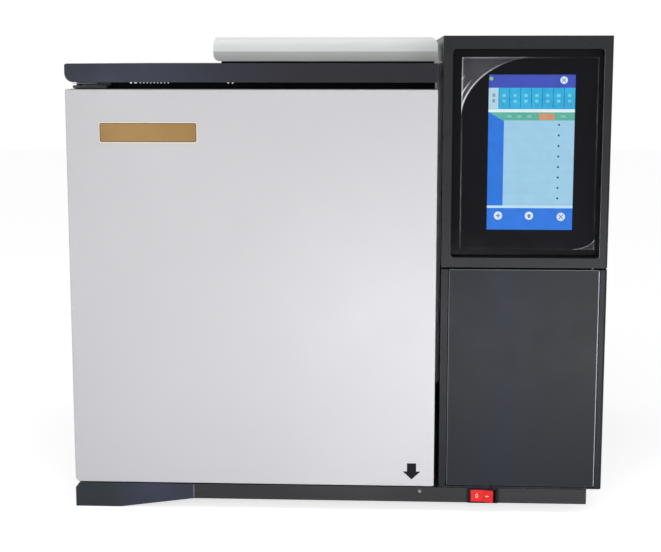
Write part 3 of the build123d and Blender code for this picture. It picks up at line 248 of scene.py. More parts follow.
def coat(name, color, rough=0.45, grain=0.35, scale=900.0, mottle=0.03, wornAndLit=None, wearAndLight=0.35, radius=0.0007,
         spread=0.06, cast=None, castAmount=0.8, castX=0.0, castHalf=1.0, **shader):
    made, tree, bsdf = newMaterial(name, **shader)
    grainNode = placeGroup(tree, coatGrain, Color=color, Mottle=mottle, Grain_Scale=scale, Grain=grain, Rough=rough,
                           Rough_Spread=spread, Cast=cast or color, Cast_Amount=castAmount if cast else 0.0,
                           Cast_X=castX, Cast_Half=castHalf)
    linkSurface(tree, grainNode, bsdf)
    if wornAndLit is not None:
        wearAndLightNode = placeGroup(tree, edgeWearAndLight, Color=grainNode.outputs["Color"], Worn=wornAndLit, Amount=wearAndLight,
                              Radius=radius)
        linkSurface(tree, wearAndLightNode, bsdf, ("Color",))
    return made


def brushed(name, color, stretch=(8.0, 8.0, 900.0), rough=0.32, depth=0.25, metallic=1.0, **shader):
    made, tree, bsdf = newMaterial(name, **shader)
    bsdf.inputs["Metallic"].default_value = metallic
    grainNode = placeGroup(tree, brushGrain, Color=color, Stretch=stretch, Depth=depth, Rough=rough)
    linkSurface(tree, grainNode, bsdf)
    return made


tones = {
    "door": (0.450, 0.445, 0.466),
    "deck": (0.024, 0.024, 0.030),
    # the bluish tones for the deck, the service door and the foot are painted sheens
    "deckSheen": (0.048, 0.056, 0.090),
    "tower": (0.019, 0.020, 0.0225),
    "service": (0.020, 0.0208, 0.0235),
    "serviceSheen": (0.021, 0.0235, 0.034),
    "base": (0.034, 0.034, 0.036),
    "foot": (0.031, 0.0365, 0.042),
    "footSheen": (0.050, 0.050, 0.105),
    "bezel": (0.025, 0.0258, 0.028),
    "hood": (0.900, 0.918, 0.908),
    "gold": (0.230, 0.138, 0.026),
    "goldCast": (0.220, 0.106, 0.030),
    "goldRim": (0.070, 0.050, 0.030),
    "goldPale": (0.80, 0.74, 0.58),
}
# the worn colours are pale edges that stand partly for rub wear and partly for painted edge highlights
doorCoat = coat("doorCoat", tones["door"], rough=0.42, grain=0.22, mottle=0.018, wornAndLit=(0.66, 0.66, 0.68), wearAndLight=0.3)
# the bluish cast on the deck's left end is a painted sheen
deckCoat = coat("deckCoat", tones["deck"], rough=0.34, grain=0.4, mottle=0.10, wornAndLit=(0.16, 0.17, 0.22), wearAndLight=0.55,
                cast=tones["deckSheen"], castX=-0.27, castHalf=0.22, Specular_IOR_Level=0.08)
panelCoat = coat("panelCoat", tones["deck"], rough=0.40, grain=0.45, mottle=0.06, wornAndLit=(0.14, 0.145, 0.16), wearAndLight=0.45,
                 Specular_IOR_Level=0.3)
towerCoat = coat("towerCoat", tones["tower"], rough=0.30, grain=0.35, mottle=0.10, wornAndLit=(0.13, 0.14, 0.17),
                 wearAndLight=0.6, Specular_IOR_Level=0.08)
towerSideCoat = coat("towerSideCoat", tones["tower"], rough=0.12, grain=0.2, mottle=0.10, wornAndLit=(0.13, 0.14, 0.17),
                     wearAndLight=0.6, Specular_IOR_Level=0.4)
# the bluish cast across the service door's middle is a painted sheen
serviceCoat = coat("serviceCoat", tones["service"], rough=0.34, grain=0.45, mottle=0.10, wornAndLit=(0.14, 0.15, 0.18),
                   wearAndLight=0.6, cast=tones["serviceSheen"], castX=0.17, castHalf=0.09, Specular_IOR_Level=0.08)
baseCoat = coat("baseCoat", tones["base"], rough=0.45, grain=0.5, mottle=0.12, wornAndLit=(0.12, 0.12, 0.13), wearAndLight=0.5,
                Specular_IOR_Level=0.08)
hoodCoat = coat("hoodCoat", tones["hood"], rough=0.40, grain=0.25, mottle=0.02, wornAndLit=(0.92, 0.93, 0.92), wearAndLight=0.25)
# near-black for the oven's front frame, the hood seat and the switch body: their own dark finish, deepened to paint
# the shade in the gaps round them
darkAndShadeBlack = coat("darkAndShadeBlack", (0.008, 0.008, 0.010), rough=0.5, grain=0.4, mottle=0.2, wornAndLit=(0.05, 0.05, 0.055),
                  wearAndLight=0.3, Specular_IOR_Level=0.08)
bezelPlastic = coat("bezelPlastic", tones["bezel"], rough=0.30, grain=0.25, scale=1400.0, mottle=0.08,
                    wornAndLit=(0.08, 0.085, 0.10), wearAndLight=0.25, Specular_IOR_Level=0.08)
# the bluish cast on the foot is a painted sheen
footPlastic = coat("footPlastic", tones["foot"], rough=0.45, grain=0.5, scale=1300.0, mottle=0.12,
                   wornAndLit=(0.11, 0.11, 0.12), wearAndLight=0.4, cast=tones["footSheen"], castAmount=1.0, castX=-0.185,
                   castHalf=0.05, Specular_IOR_Level=0.08)
# the hinge brackets' near-black is their black coat deepened to paint the shade in the gap under the deck; their pale
# worn edges are painted highlights
bracketBlackAndShade = coat("bracketBlackAndShade", (0.020, 0.020, 0.023), rough=0.4, grain=0.3, mottle=0.15,
                    wornAndLit=(0.45, 0.45, 0.47), wearAndLight=0.8)
dullSteel = brushed("dullSteel", (0.10, 0.10, 0.11), stretch=(30.0, 30.0, 900.0), rough=0.45, depth=0.2)
buttonSteel = brushed("buttonSteel", (0.30, 0.30, 0.31), stretch=(30.0, 900.0, 30.0), rough=0.42, depth=0.2)
blackPlastic = coat("blackPlastic", (0.018, 0.018, 0.020), rough=0.42, grain=0.3, scale=1500.0, mottle=0.08,
                    wornAndLit=(0.06, 0.06, 0.065), wearAndLight=0.3)
fanPlastic = coat("fanPlastic", (0.022, 0.022, 0.023), rough=0.5, grain=0.3, scale=1500.0, mottle=0.1)
rubberBlack = coat("rubberBlack", (0.020, 0.020, 0.020), rough=0.78, grain=0.6, scale=700.0, mottle=0.15, spread=0.1)
# the rocker's faint red emission is a painted glow, and its darker worn red paints shade along its edges
redRocker = coat("redRocker", (0.55, 0.008, 0.008), rough=0.24, grain=0.08, mottle=0.08, wornAndLit=(0.16, 0.004, 0.004),
                 wearAndLight=0.9, radius=0.0016, Emission_Color=(0.9, 0.02, 0.02, 1.0), Emission_Strength=0.06)
motorCoat = coat("motorCoat", (0.030, 0.030, 0.033), rough=0.4, grain=0.5, mottle=0.1, wornAndLit=(0.3, 0.3, 0.3))
coreVarnish = brushed("coreVarnish", (0.12, 0.11, 0.10), stretch=(1500.0, 8.0, 8.0), rough=0.5, metallic=0.6)
stainless = brushed("stainless", (0.60, 0.60, 0.59), stretch=(9.0, 9.0, 1100.0), rough=0.30)
stainlessAcross = brushed("stainlessAcross", (0.58, 0.58, 0.57), stretch=(1100.0, 9.0, 9.0), rough=0.28)
zincSteel = brushed("zincSteel", (0.52, 0.53, 0.55), stretch=(60.0, 60.0, 90.0), rough=0.38, depth=0.15)
turnedSteel = brushed("turnedSteel", (0.66, 0.66, 0.66), stretch=(30.0, 30.0, 1500.0), rough=0.22, depth=0.2)
springSteel = brushed("springSteel", (0.40, 0.40, 0.43), stretch=(1200.0, 12.0, 12.0), rough=0.3)
heaterSheath = coat("heaterSheath", (0.11, 0.095, 0.085), rough=0.55, grain=0.6, scale=600.0, mottle=0.3,
                    Metallic=0.7)
turnedBrass = brushed("turnedBrass", (0.66, 0.46, 0.20), stretch=(40.0, 1500.0, 40.0), rough=0.26, depth=0.2)
boardGreen = coat("boardGreen", (0.012, 0.105, 0.045), rough=0.35, grain=0.3, mottle=0.25, Coat_Weight=0.3)
woolBoard = coat("woolBoard", (0.62, 0.58, 0.46), rough=0.95, grain=1.0, scale=260.0, mottle=0.12)
print("materials made")

# mesh helpers

def finishMesh(bm, name, material, body, smooth=None, replaces=()):
    bmesh.ops.remove_doubles(bm, verts=bm.verts, dist=1e-7)
    bmesh.ops.recalc_face_normals(bm, faces=bm.faces)
    mesh = bpy.data.meshes.new(name)
    bm.to_mesh(mesh)
    bm.free()
    obj = bpy.data.objects.new(name, mesh)
    bpy.context.scene.collection.objects.link(obj)
    mesh.materials.append(material)
    if smooth is not None:
        mesh.polygons.foreach_set("use_smooth", [True] * len(mesh.polygons))
        mesh.set_sharp_from_angle(angle=math.radians(smooth))
    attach(obj, body)
    if replaces:
        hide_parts(*replaces)
    return obj


def addBox(bm, low, high):
    size = Vector(high) - Vector(low)
    middle = (Vector(high) + Vector(low)) / 2
    bmesh.ops.create_cube(bm, size=1.0, matrix=Matrix.Translation(middle) @ Matrix.Diagonal((*size, 1.0)))


def addRod(bm, start, end, radius, segments=24):
    along = Vector(end) - Vector(start)
    turn = along.to_track_quat("Z", "Y").to_matrix().to_4x4()
    place = Matrix.Translation((Vector(start) + Vector(end)) / 2) @ turn
    bmesh.ops.create_cone(bm, cap_ends=True, segments=segments, radius1=radius, radius2=radius,
                          depth=along.length, matrix=place)


def addOutline(bm, points, y0, y1):
    # flat outline of (x, z) points, made y1 - y0 thick
    face = bm.faces.new([bm.verts.new((x, y0, z)) for x, z in points])
    grown = bmesh.ops.extrude_face_region(bm, geom=[face])
    moved = [item for item in grown["geom"] if isinstance(item, bmesh.types.BMVert)]
    bmesh.ops.translate(bm, verts=moved, vec=(0, y1 - y0, 0))


def roundedPoints(x0, x1, z0, z1, radius, steps=5):
    points = []
    corners = ((x1 - radius, z1 - radius, 0), (x0 + radius, z1 - radius, 90), (x0 + radius, z0 + radius, 180),
               (x1 - radius, z0 + radius, 270))
    for cx, cz, start in corners:
        for step in range(steps + 1):
            angle = math.radians(start + 90 * step / steps)
            points.append((cx + radius * math.cos(angle), cz + radius * math.sin(angle)))
    return points


def addRing(bm, outer, inner, y0, y1):
    # flat ring between two outlines with as many points each
    loops = [[bm.verts.new((x, y, z)) for x, z in points]
             for points, y in ((outer, y0), (outer, y1), (inner, y1), (inner, y0))]
    count = len(outer)
    for first, second in zip(loops, loops[1:] + loops[:1]):
        for n in range(count):
            bm.faces.new((first[n], first[(n + 1) % count], second[(n + 1) % count], second[n]))


def discPoints(x, z, radius, steps=20):
    return [(x + radius * math.cos(2 * math.pi * n / steps), z + radius * math.sin(2 * math.pi * n / steps))
            for n in range(steps)]


# finishes of the CAD nodes

finishes = {
    "door_skin": doorCoat, "top_deck": deckCoat, "tower_cover": towerSideCoat, "service_frame": towerCoat,
    "service_door": serviceCoat, "side_panel_left": panelCoat, "side_panel_right": panelCoat, "rear_panel": panelCoat,
    "tower_rear_panel": towerCoat,
    "screen_bezel": bezelPlastic, "base_tray": baseCoat, "skirt_front": baseCoat, "skirt_foot_left": footPlastic,
    "hood_lid": hoodCoat, "rubber_feet": rubberBlack, "oven_liner": stainless, "door_liner": stainless,
    "oven_baffle": stainlessAcross, "column_cage": stainlessAcross, "gas_panel": stainless,
    "oven_casing": zincSteel, "exhaust_duct": zincSteel, "oven_hinge_brackets": bracketBlackAndShade,
    "service_hinge_pins": dullSteel, "hood_hinge_posts": zincSteel, "cover_screws": turnedSteel,
    "exhaust_flap": stainless, "oven_front_frame": darkAndShadeBlack, "hood_seat": darkAndShadeBlack, "latch_spring": springSteel,
    "release_button": buttonSteel, "door_strike": turnedSteel, "temperature_probe": turnedSteel,
    "oven_insulation": woolBoard, "door_insulation": woolBoard, "oven_fan": stainlessAcross,
    "oven_fan_motor": motorCoat, "oven_heater": heaterSheath, "injectors": turnedSteel,
    "flame_detector": turnedSteel, "thermal_detector": zincSteel, "control_board": boardGreen,
    "main_board": boardGreen, "display_panel": blackPlastic, "pressure_regulators": turnedBrass,
    "gas_fittings": turnedBrass, "carrier_knob": blackPlastic, "hydrogen_knob": blackPlastic,
    "air_knob": blackPlastic, "power_transformer": coreVarnish, "cooling_fan_frame": fanPlastic,
    "cooling_fan_rotor": fanPlastic, "power_inlet": blackPlastic, "data_port": blackPlastic,
    "switch_body": darkAndShadeBlack, "switch_rocker": redRocker,
}


def dress(name, material):
    cadNode = frame["nodes"][name]
    cadNode.data.materials.clear()
    cadNode.data.materials.append(material)


for name, material in finishes.items():
    dress(name, material)
print("CAD nodes finished")

# badge plate, left bare

badge = {"x": 33.4, "z": 377.4, "wide": 99.0, "high": 20.7, "corner": 2.6, "thick": 0.5, "edge": 0.7, "rim": 0.9,
         "proud": 0.12}


def makeBadge():
    gold = coat("badgeGold", tones["gold"], rough=0.34, grain=0.4, scale=1600.0, mottle=0.28,
                cast=tones["goldCast"], castAmount=0.7, Metallic=0.3)
    dark = coat("badgeRim", tones["goldRim"], rough=0.30, grain=0.2, mottle=0.12, Metallic=0.2)
    pale = coat("badgeEdge", tones["goldPale"], rough=0.35, grain=0.2, mottle=0.05)
    x0 = doorLow.x + badge["x"] * mm
    z0 = badge["z"] * mm
    x1, z1 = x0 + badge["wide"] * mm, z0 + badge["high"] * mm
    face = frontPlane - badge["thick"] * mm

    def outline(inset):
        inset *= mm
        return roundedPoints(x0 + inset, x1 - inset, z0 + inset, z1 - inset, badge["corner"] * mm - inset)

    bm = bmesh.new()
    addOutline(bm, outline(0.0), frontPlane, face)
    finishMesh(bm, "badgePlate", gold, "oven_door", smooth=40)
    inner = badge["edge"] + badge["rim"]
    for name, paint, start, end in (("badgeEdge", pale, 0.0, badge["edge"]), ("badgeRim", dark, badge["edge"], inner)):
        bm = bmesh.new()
        addRing(bm, outline(start), outline(end), face, face - badge["proud"] * mm)
        finishMesh(bm, name, paint, "oven_door", smooth=40)


makeBadge()

# arrow that points at the release button

arrow = {"x": 348.6, "top": 50.6, "stem": 9.4, "stemHigh": 8.6, "head": 18.2, "headHigh": 8.4, "thick": 0.12}


def makeArrow():
    ink = coat("arrowInk", (0.007, 0.007, 0.010), rough=0.4, grain=0.1, mottle=0.05, Specular_IOR_Level=0.08)
    x = doorLow.x + arrow["x"] * mm
    z = arrow["top"] * mm
    stem, head = arrow["stem"] * mm / 2, arrow["head"] * mm / 2
    neck = z - arrow["stemHigh"] * mm
    tip = neck - arrow["headHigh"] * mm
    points = [(x - stem, z), (x - stem, neck), (x - head, neck), (x, tip), (x + head, neck), (x + stem, neck),
              (x + stem, z)]
    bm = bmesh.new()
    addOutline(bm, points, frontPlane, frontPlane - arrow["thick"] * mm)
    finishMesh(bm, "releaseArrow", ink, "oven_door")


makeArrow()

# display: cover glass and picture

glassLow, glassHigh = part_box("display_glass")
moduleLow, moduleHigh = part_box("display_panel")
display = {"rim": 6.0, "glassCorner": 4.0, "windowCorner": 0.3, "paneGap": 0.15, "paneThick": 0.4}
litLow = Vector((moduleLow.x + display["rim"] * mm, 0, moduleLow.z + display["rim"] * mm))
litHigh = Vector((moduleHigh.x - display["rim"] * mm, 0, moduleHigh.z - display["rim"] * mm))


glow = {"strength": 1.0, "scale": 90.0, "rough": 0.25, "ground": (0.01, 0.01, 0.01, 1.0)}


def glowMaterial(name, color, spread):
    # a lit area of the display: the light varies a little, as a backlight does
    made, tree, bsdf = newMaterial(name, Roughness=glow["rough"], Specular_IOR_Level=0.0,
                                   Emission_Strength=glow["strength"], Base_Color=glow["ground"])
    cloud = noiseNode(tree, node(tree, "ShaderNodeTexCoord").outputs["Object"], glow["scale"], 2.0)
    low = tuple(c * (1 - spread) for c in color)
    high = tuple(min(1.0, c * (1 + spread)) for c in color)
    tint = mixColor(tree, ramp(tree, cloud.outputs["Fac"], 0.3, 0.7), low, high)
    tree.links.new(tint, bsdf.inputs["Emission Color"])
    return made


def srgb(red, green, blue):
    return tuple(((c / 255 + 0.055) / 1.055) ** 2.4 if c > 10 else c / 3294.6 for c in (red, green, blue))


def makeGlass():
    # cover glass with an ink border, and a clear pane over the lit area
    ink, tree, bsdf = newMaterial("glassInk", Specular_IOR_Level=0.10)
    grain = placeGroup(tree, coatGrain, Color=(0.0068, 0.0070, 0.0088), Mottle=0.1, Grain_Scale=300.0, Grain=0.02,
                       Rough=0.10, Rough_Spread=0.03)
    linkSurface(tree, grain, bsdf)
    bm = bmesh.new()
    outer = roundedPoints(glassLow.x, glassHigh.x, glassLow.z, glassHigh.z, display["glassCorner"] * mm)
    window = roundedPoints(litLow.x, litHigh.x, litLow.z, litHigh.z, display["windowCorner"] * mm)
    addRing(bm, outer, window, glassLow.y, glassHigh.y)
    finishMesh(bm, "coverGlass", ink, "chassis", replaces=("display_glass",))

    pane, tree, bsdf = newMaterial("clearPane", Roughness=0.05, Specular_IOR_Level=0.2, Alpha=0.05)
    dust = noiseNode(tree, node(tree, "ShaderNodeTexCoord").outputs["Object"], 60.0, 4.0)
    smear = mixColor(tree, ramp(tree, dust.outputs["Fac"], 0.3, 0.8), (0.015, 0.018, 0.03), (0.05, 0.06, 0.08))
    tree.links.new(smear, bsdf.inputs["Base Color"])
    bm = bmesh.new()
    gap = display["paneGap"] * mm
    addBox(bm, (litLow.x + gap, glassLow.y, litLow.z + gap),
           (litHigh.x - gap, glassLow.y + display["paneThick"] * mm, litHigh.z - gap))
    finishMesh(bm, "glassPane", pane, "chassis")


makeGlass()

# parts of the picture, as shares of the lit area: left, right, bottom, top, then layer, colour and light spread
picture = {
    "ground": ((0.0, 1.0, 0.0, 1.0), 0, (44, 122, 228), 0.05),
    "statusBar": ((0.0, 1.0, 0.916, 1.0), 1, (68, 84, 190), 0.10),
    "firstTab": ((0.0, 0.118, 0.782, 0.916), 1, (186, 222, 236), 0.04),
    "tabStrip": ((0.118, 1.0, 0.782, 0.916), 1, (54, 180, 228), 0.10),
    "lineTop": ((0.0, 1.0, 0.760, 0.780), 3, (232, 250, 252), 0.02),
    "orangeCell": ((0.590, 0.770, 0.712, 0.752), 3, (214, 150, 112), 0.10),
    "table": ((0.184, 1.0, 0.157, 0.708), 1, (164, 211, 238), 0.03),
    "lineLow": ((0.0, 1.0, 0.141, 0.157), 2, (200, 234, 250), 0.02),
    "bottomBar": ((0.0, 1.0, 0.0, 0.141), 1, (50, 124, 230), 0.08),
}
# the marks on it: tabs, table rows and round icons, all of them plain shapes
marks = {
    "tabs": 7, "tabLeft": 0.118, "divider": 0.003, "dabHalf": 0.018, "dabs": (0.822, 0.858), "dabHigh": 0.018,
    "rows": 8, "rowTop": 0.680, "rowLow": 0.205, "rowDrop": 0.034, "rowLine": 0.003, "dotX": 0.822, "dot": 1.05,
    "columns": 9, "headX": 0.22, "headStep": 0.115, "headWide": 0.05, "headSlant": 0.165,
    "icons": ((0.134, 0.091, 4.2), (0.496, 0.091, 4.2), (0.868, 0.085, 4.2), (0.868, 0.965, 3.7)),
    "lamp": (0.030, 0.975, 1.9), "layer": 0.12, "thin": 0.1, "stand": 0.15, "hair": 0.002,
    "headLow": 0.708, "headHigh": 0.762, "dividerLow": 0.790, "dividerHigh": 0.914, "firstDabs": (0.046, 0.076),
    "firstDabHigh": 0.022, "lineLeft": 0.19, "lineRight": 0.99, "columnsEnd": 0.78, "columnLow": 0.170,
    "columnHigh": 0.700, "sideLeft": 0.02, "sideRight": 0.165, "heads": 3, "headMarkLow": 0.727,
    "headMarkHigh": 0.741, "lastHead": (0.84, 0.90), "iconReach": 0.5, "iconThin": 0.14, "houseWall": 0.6,
}


def litPoint(share, height):
    size = litHigh - litLow
    return litLow.x + share * size.x, litLow.z + height * size.z


def litDepth(layer):
    return moduleLow.y - (marks["stand"] + layer * marks["layer"]) * mm


def litBox(shares, layer):
    left, right, low, high = shares
    (x0, z0), (x1, z1) = litPoint(left, low), litPoint(right, high)
    y = litDepth(layer)
    return (x0, y, z0), (x1, y + marks["layer"] * mm, z1)


def tile(name, boxes, color, layer, spread=0.05):
    bm = bmesh.new()
    for shares in boxes:
        addBox(bm, *litBox(shares, layer))
    finishMesh(bm, name, glowMaterial(name + "Glow", srgb(*color), spread), "chassis")


def litShapes(name, outlines, color, layer, spread=0.05):
    # flat outlines of (x, z) points; each lies a hair before the one before it
    bm = bmesh.new()
    y = litDepth(layer)
    for index, points in enumerate(outlines):
        step = index * marks["hair"] * mm
        addOutline(bm, points, y - step, y - step + marks["thin"] * mm)
    finishMesh(bm, name, glowMaterial(name + "Glow", srgb(*color), spread), "chassis")


def makePicture():
    for name, (shares, layer, color, spread) in picture.items():
        tile(name, (shares,), color, layer, spread)
    left, low, high = marks["headSlant"], marks["headLow"], marks["headHigh"]
    strip = [litPoint(share, height) for share, height in ((0.0, high), (left, low), (1.0, low), (1.0, high))]
    litShapes("headStrip", (strip,), (96, 182, 164), 2, 0.08)

    step = (1.0 - marks["tabLeft"]) / marks["tabs"]
    starts = [marks["tabLeft"] + n * step for n in range(marks["tabs"])]
    half = marks["divider"]
    dividers = [(start - half, start + half, marks["dividerLow"], marks["dividerHigh"]) for start in starts]
    tile("tabDividers", dividers, (22, 112, 168), 2)
    half = marks["dabHalf"]
    dabs = [(start + step / 2 - half, start + step / 2 + half, low, low + marks["dabHigh"])
            for start in starts for low in marks["dabs"]]
    tile("tabDabs", dabs, (126, 212, 238), 2, 0.12)
    firstDabs = [(*marks["firstDabs"], low, low + marks["firstDabHigh"]) for low in marks["dabs"]]
    tile("firstTabDabs", firstDabs, (130, 160, 194), 2)

    rows = [marks["rowTop"] + (marks["rowLow"] - marks["rowTop"]) * n / (marks["rows"] - 1)
            for n in range(marks["rows"])]
    left, line = marks["lineLeft"], marks["rowLine"]
    heights = [(z - marks["rowDrop"], z - marks["rowDrop"] + line) for z in rows]
    rowLines = [(left, marks["lineRight"], low, high) for low, high in heights]
    sideLines = [(marks["sideLeft"], marks["sideRight"], low, high) for low, high in heights]
    columnStep = (marks["columnsEnd"] - left) / marks["columns"]
    columnLines = [(left + n * columnStep, left + line + n * columnStep, marks["columnLow"], marks["columnHigh"])
                   for n in range(1, marks["columns"])]
    tile("rowLines", rowLines, (154, 202, 232), 2)
    tile("columnLines", columnLines, (159, 207, 235), 2)
    tile("sideLines", sideLines, (56, 132, 226), 2)
    headStarts = [marks["headX"] + n * marks["headStep"] for n in range(marks["heads"])]
    heads = [(start, start + marks["headWide"]) for start in headStarts] + [marks["lastHead"]]
    heads = [(*ends, marks["headMarkLow"], marks["headMarkHigh"]) for ends in heads]
    tile("headMarks", heads, (136, 204, 192), 3, 0.1)
    dots = [discPoints(*litPoint(marks["dotX"], z), marks["dot"] * mm, 12) for z in rows]
    litShapes("rowDots", dots, (40, 74, 108), 2)

    discs, crosses = [], []
    for index, (share, height, radius) in enumerate(marks["icons"]):
        x, z = litPoint(share, height)
        discs.append(discPoints(x, z, radius * mm, 24))
        r, thin = radius * marks["iconReach"] * mm, radius * marks["iconThin"] * mm
        wall = r * marks["houseWall"]
        if index == 0:
            crosses.append([(x - r, z - thin), (x + r, z - thin), (x + r, z + thin), (x - r, z + thin)])
            crosses.append([(x - thin, z - r), (x + thin, z - r), (x + thin, z + r), (x - thin, z + r)])
        elif index == 1:
            crosses.append([(x - r, z), (x, z + r), (x + r, z), (x + wall, z), (x + wall, z - r),
                            (x - wall, z - r), (x - wall, z)])
        else:
            for way in (1, -1):
                crosses.append([(x - r, z - way * r - thin), (x + r, z + way * r - thin),
                                (x + r, z + way * r + thin), (x - r, z - way * r + thin)])
    litShapes("iconDiscs", discs, (226, 240, 250), 2, 0.06)
    litShapes("iconMarks", crosses, (84, 140, 204), 3)
    share, height, radius = marks["lamp"]
    litShapes("statusLamp", (discPoints(*litPoint(share, height), radius * mm, 12),), (150, 205, 100), 2)


makePicture()
print("display made")

# protective film on the cover glass

# the film's rims, crease and streaks are painted highlights, and its pale peeled corners a painted sheen
film = {"left": 9.0, "right": 4.05, "low": 7.2, "high": 7.65, "rise": 2.4, "curl": 1.4, "lift": 3.2,
        "cornerX": 78.0, "cornerZ": 62.0, "lowX": 26.0, "lowZ": 12.0, "lowLift": 1.4, "rims": (0.17, 0.14, 0.10, 0.04),
        "columns": 72, "rows": 96, "gap": 0.25, "crease": 0.015,
        "streaks": ((0.08, 0.30), (0.19, 0.50), (0.31, 0.30)), "streakWide": 0.013}


def band(tree, value, middle, half):
    # 1 where the value meets the middle, down to 0 at half to either side
    away = calc(tree, "ABSOLUTE", calc(tree, "SUBTRACT", value, middle))
    return ramp(tree, away, 0.0, half, 1.0, 0.0)


def buildFilmSheen():
    # fold: 0 on the peeled corner's crease, growing towards the corner; along: 0 to 1 from its low end up
    tree, inp, out = newGroup("filmSheen", (("Fold", "f", 0.0), ("Along", "f", 0.0), ("Rim", "f", 0.0)),
                              (("Color", "c"), ("Alpha", "f")))
    where = node(tree, "ShaderNodeTexCoord").outputs["Object"]
    smear = noiseNode(tree, where, 22.0, 2.0, 0.5).outputs["Fac"]
    broken = ramp(tree, smear, 0.3, 0.62, 0.25, 1.0)
    fold, along = inp.outputs["Fold"], inp.outputs["Along"]
    creaseLine = band(tree, fold, film["crease"], film["crease"])
    crease = calc(tree, "MULTIPLY", creaseLine, ramp(tree, along, 0.0, 0.75, 0.75, 0.06))
    streaks = 0.0
    for middle, strength in film["streaks"]:
        streak = calc(tree, "MULTIPLY", band(tree, fold, middle, film["streakWide"]), strength)
        streaks = calc(tree, "ADD", streaks, streak)
    streaks = calc(tree, "MULTIPLY", streaks, band(tree, along, 0.22, 0.20))
    fade = ramp(tree, along, 0.1, 0.9, 1.1, 0.30)
    sheen = calc(tree, "MULTIPLY", ramp(tree, smear, 0.3, 0.7, 0.50, 0.78), fade)
    lines = 0.0
    for part in (crease, streaks, calc(tree, "MULTIPLY", inp.outputs["Rim"], broken)):
        lines = calc(tree, "ADD", lines, part, clamp=True)
    inside = calc(tree, "MULTIPLY", ramp(tree, fold, 0.005, 0.03), sheen)
    tree.links.new(calc(tree, "ADD", inside, lines, clamp=True), out.inputs["Alpha"])
    # the grey tone is a painted sheen and the pale one a painted highlight
    sheenTone = mixColor(tree, ramp(tree, smear, 0.3, 0.7), (0.070, 0.070, 0.081), (0.110, 0.110, 0.125))
    tree.links.new(mixColor(tree, ramp(tree, lines, 0.0, 0.15), sheenTone, (0.66, 0.66, 0.71)), out.inputs["Color"])
    return tree


def filmMaterial():
    # clear film with a painted sheen over its folds and peeled corners, and painted highlights along its crease,
    # streaks and rims
    made, tree, bsdf = newMaterial("filmSheet", Roughness=0.2, Specular_IOR_Level=0.1)
    sheen = placeGroup(tree, buildFilmSheen())
    for label in ("Fold", "Along", "Rim"):
        source = node(tree, "ShaderNodeAttribute", attribute_name=label.lower())
        tree.links.new(source.outputs["Fac"], sheen.inputs[label])
    tree.links.new(sheen.outputs["Color"], bsdf.inputs["Base Color"])
    tree.links.new(sheen.outputs["Alpha"], bsdf.inputs["Alpha"])
    return made


def makeFilm():
    x0, x1 = glassLow.x + film["left"] * mm, glassHigh.x - film["right"] * mm
    z0, z1 = glassLow.z + film["low"] * mm, glassHigh.z - film["high"] * mm
    columns, rows = film["columns"], film["rows"]
    wide, tall = film["cornerX"] * mm, film["cornerZ"] * mm
    lowWide, lowTall = film["lowX"] * mm, film["lowZ"] * mm

    def cornerFold(across, down):
        # both run from 0 at the corner to 1 at the crease's ends
        if across > 1 or down > 1:
            return -1.0
        return math.hypot(across - 1, down - 1) - 1

    bm = bmesh.new()
    layers = {name: bm.verts.layers.float.new(name) for name in ("fold", "along", "rim")}
    grid = []
    for row in range(rows + 1):
        line = []
        for column in range(columns + 1):
            x = x0 + (x1 - x0) * column / columns
            z = z0 + (z1 - z0) * row / rows
            high = cornerFold((x - x0) / wide, (z1 - z) / tall)
            low = cornerFold((x1 - x) / lowWide, (z - z0) / lowTall)
            raised = sum(lift * min(1.0, max(0.0, fold) * film["rise"]) ** film["curl"]
                         for lift, fold in ((film["lift"], high), (film["lowLift"], low)))
            vert = bm.verts.new((x, glassLow.y - (film["gap"] + raised) * mm, z))
            vert[layers["fold"]] = max(high, low)
            vert[layers["along"]] = math.atan2((z - (z1 - tall)) / tall, (x0 + wide - x) / wide) / (math.pi / 2)
            if low > high:
                vert[layers["along"]] = 0.45
            sides = zip((column, columns - column, rows - row, row), film["rims"])
            vert[layers["rim"]] = max([shine for steps, shine in sides if steps == 0], default=0.0)
            line.append(vert)
        grid.append(line)
    for row in range(rows):
        for column in range(columns):
            bm.faces.new((grid[row][column], grid[row][column + 1], grid[row + 1][column + 1],
                          grid[row + 1][column]))
    finishMesh(bm, "protectiveFilm", filmMaterial(), "chassis", smooth=60)


makeFilm()

# painted highlights along folded edges, seams and the deck gap

edges = {
    "wide": 0.7, "thick": 0.12, "glint": 0.6, "lipDrop": 1.2, "chipIn": 9.0, "glintLong": 26.0, "chip": 1.2,
    "seamSplit": 0.4,
    # start along the deck and length of each painted glint
    "chips": ((64.0, 2.2), (68.5, 2.6), (74.0, 1.0), (77.5, 1.0), (81.0, 1.0), (84.5, 1.0), (88.0, 1.0),
              (91.5, 1.0), (95.0, 1.0), (98.5, 1.0), (102.0, 1.2), (162.0, 1.6), (166.5, 1.6)),
    "paint": {"serviceGlintRight": (0.26, 0.27, 0.33), "serviceGlintLeft": (0.060, 0.063, 0.080),
              "serviceGlintTop": (0.06, 0.062, 0.07), "skirtSeamGlint": (0.20, 0.22, 0.26),
              "bezelGlint": (0.11, 0.115, 0.13), "hingeLipGlint": (0.62, 0.62, 0.64), "deckGlints": (0.92, 0.93, 0.96)},
}


def edgeStrip(name, body, *boxes):
    # each strip is a pale painted highlight along an edge
    glintPaint = coat(name + "Paint", edges["paint"][name], rough=0.35, grain=0.3, mottle=0.25, Specular_IOR_Level=0.3)
    bm = bmesh.new()
    for low, high in boxes:
        addBox(bm, low, high)
    finishMesh(bm, name, glintPaint, body)


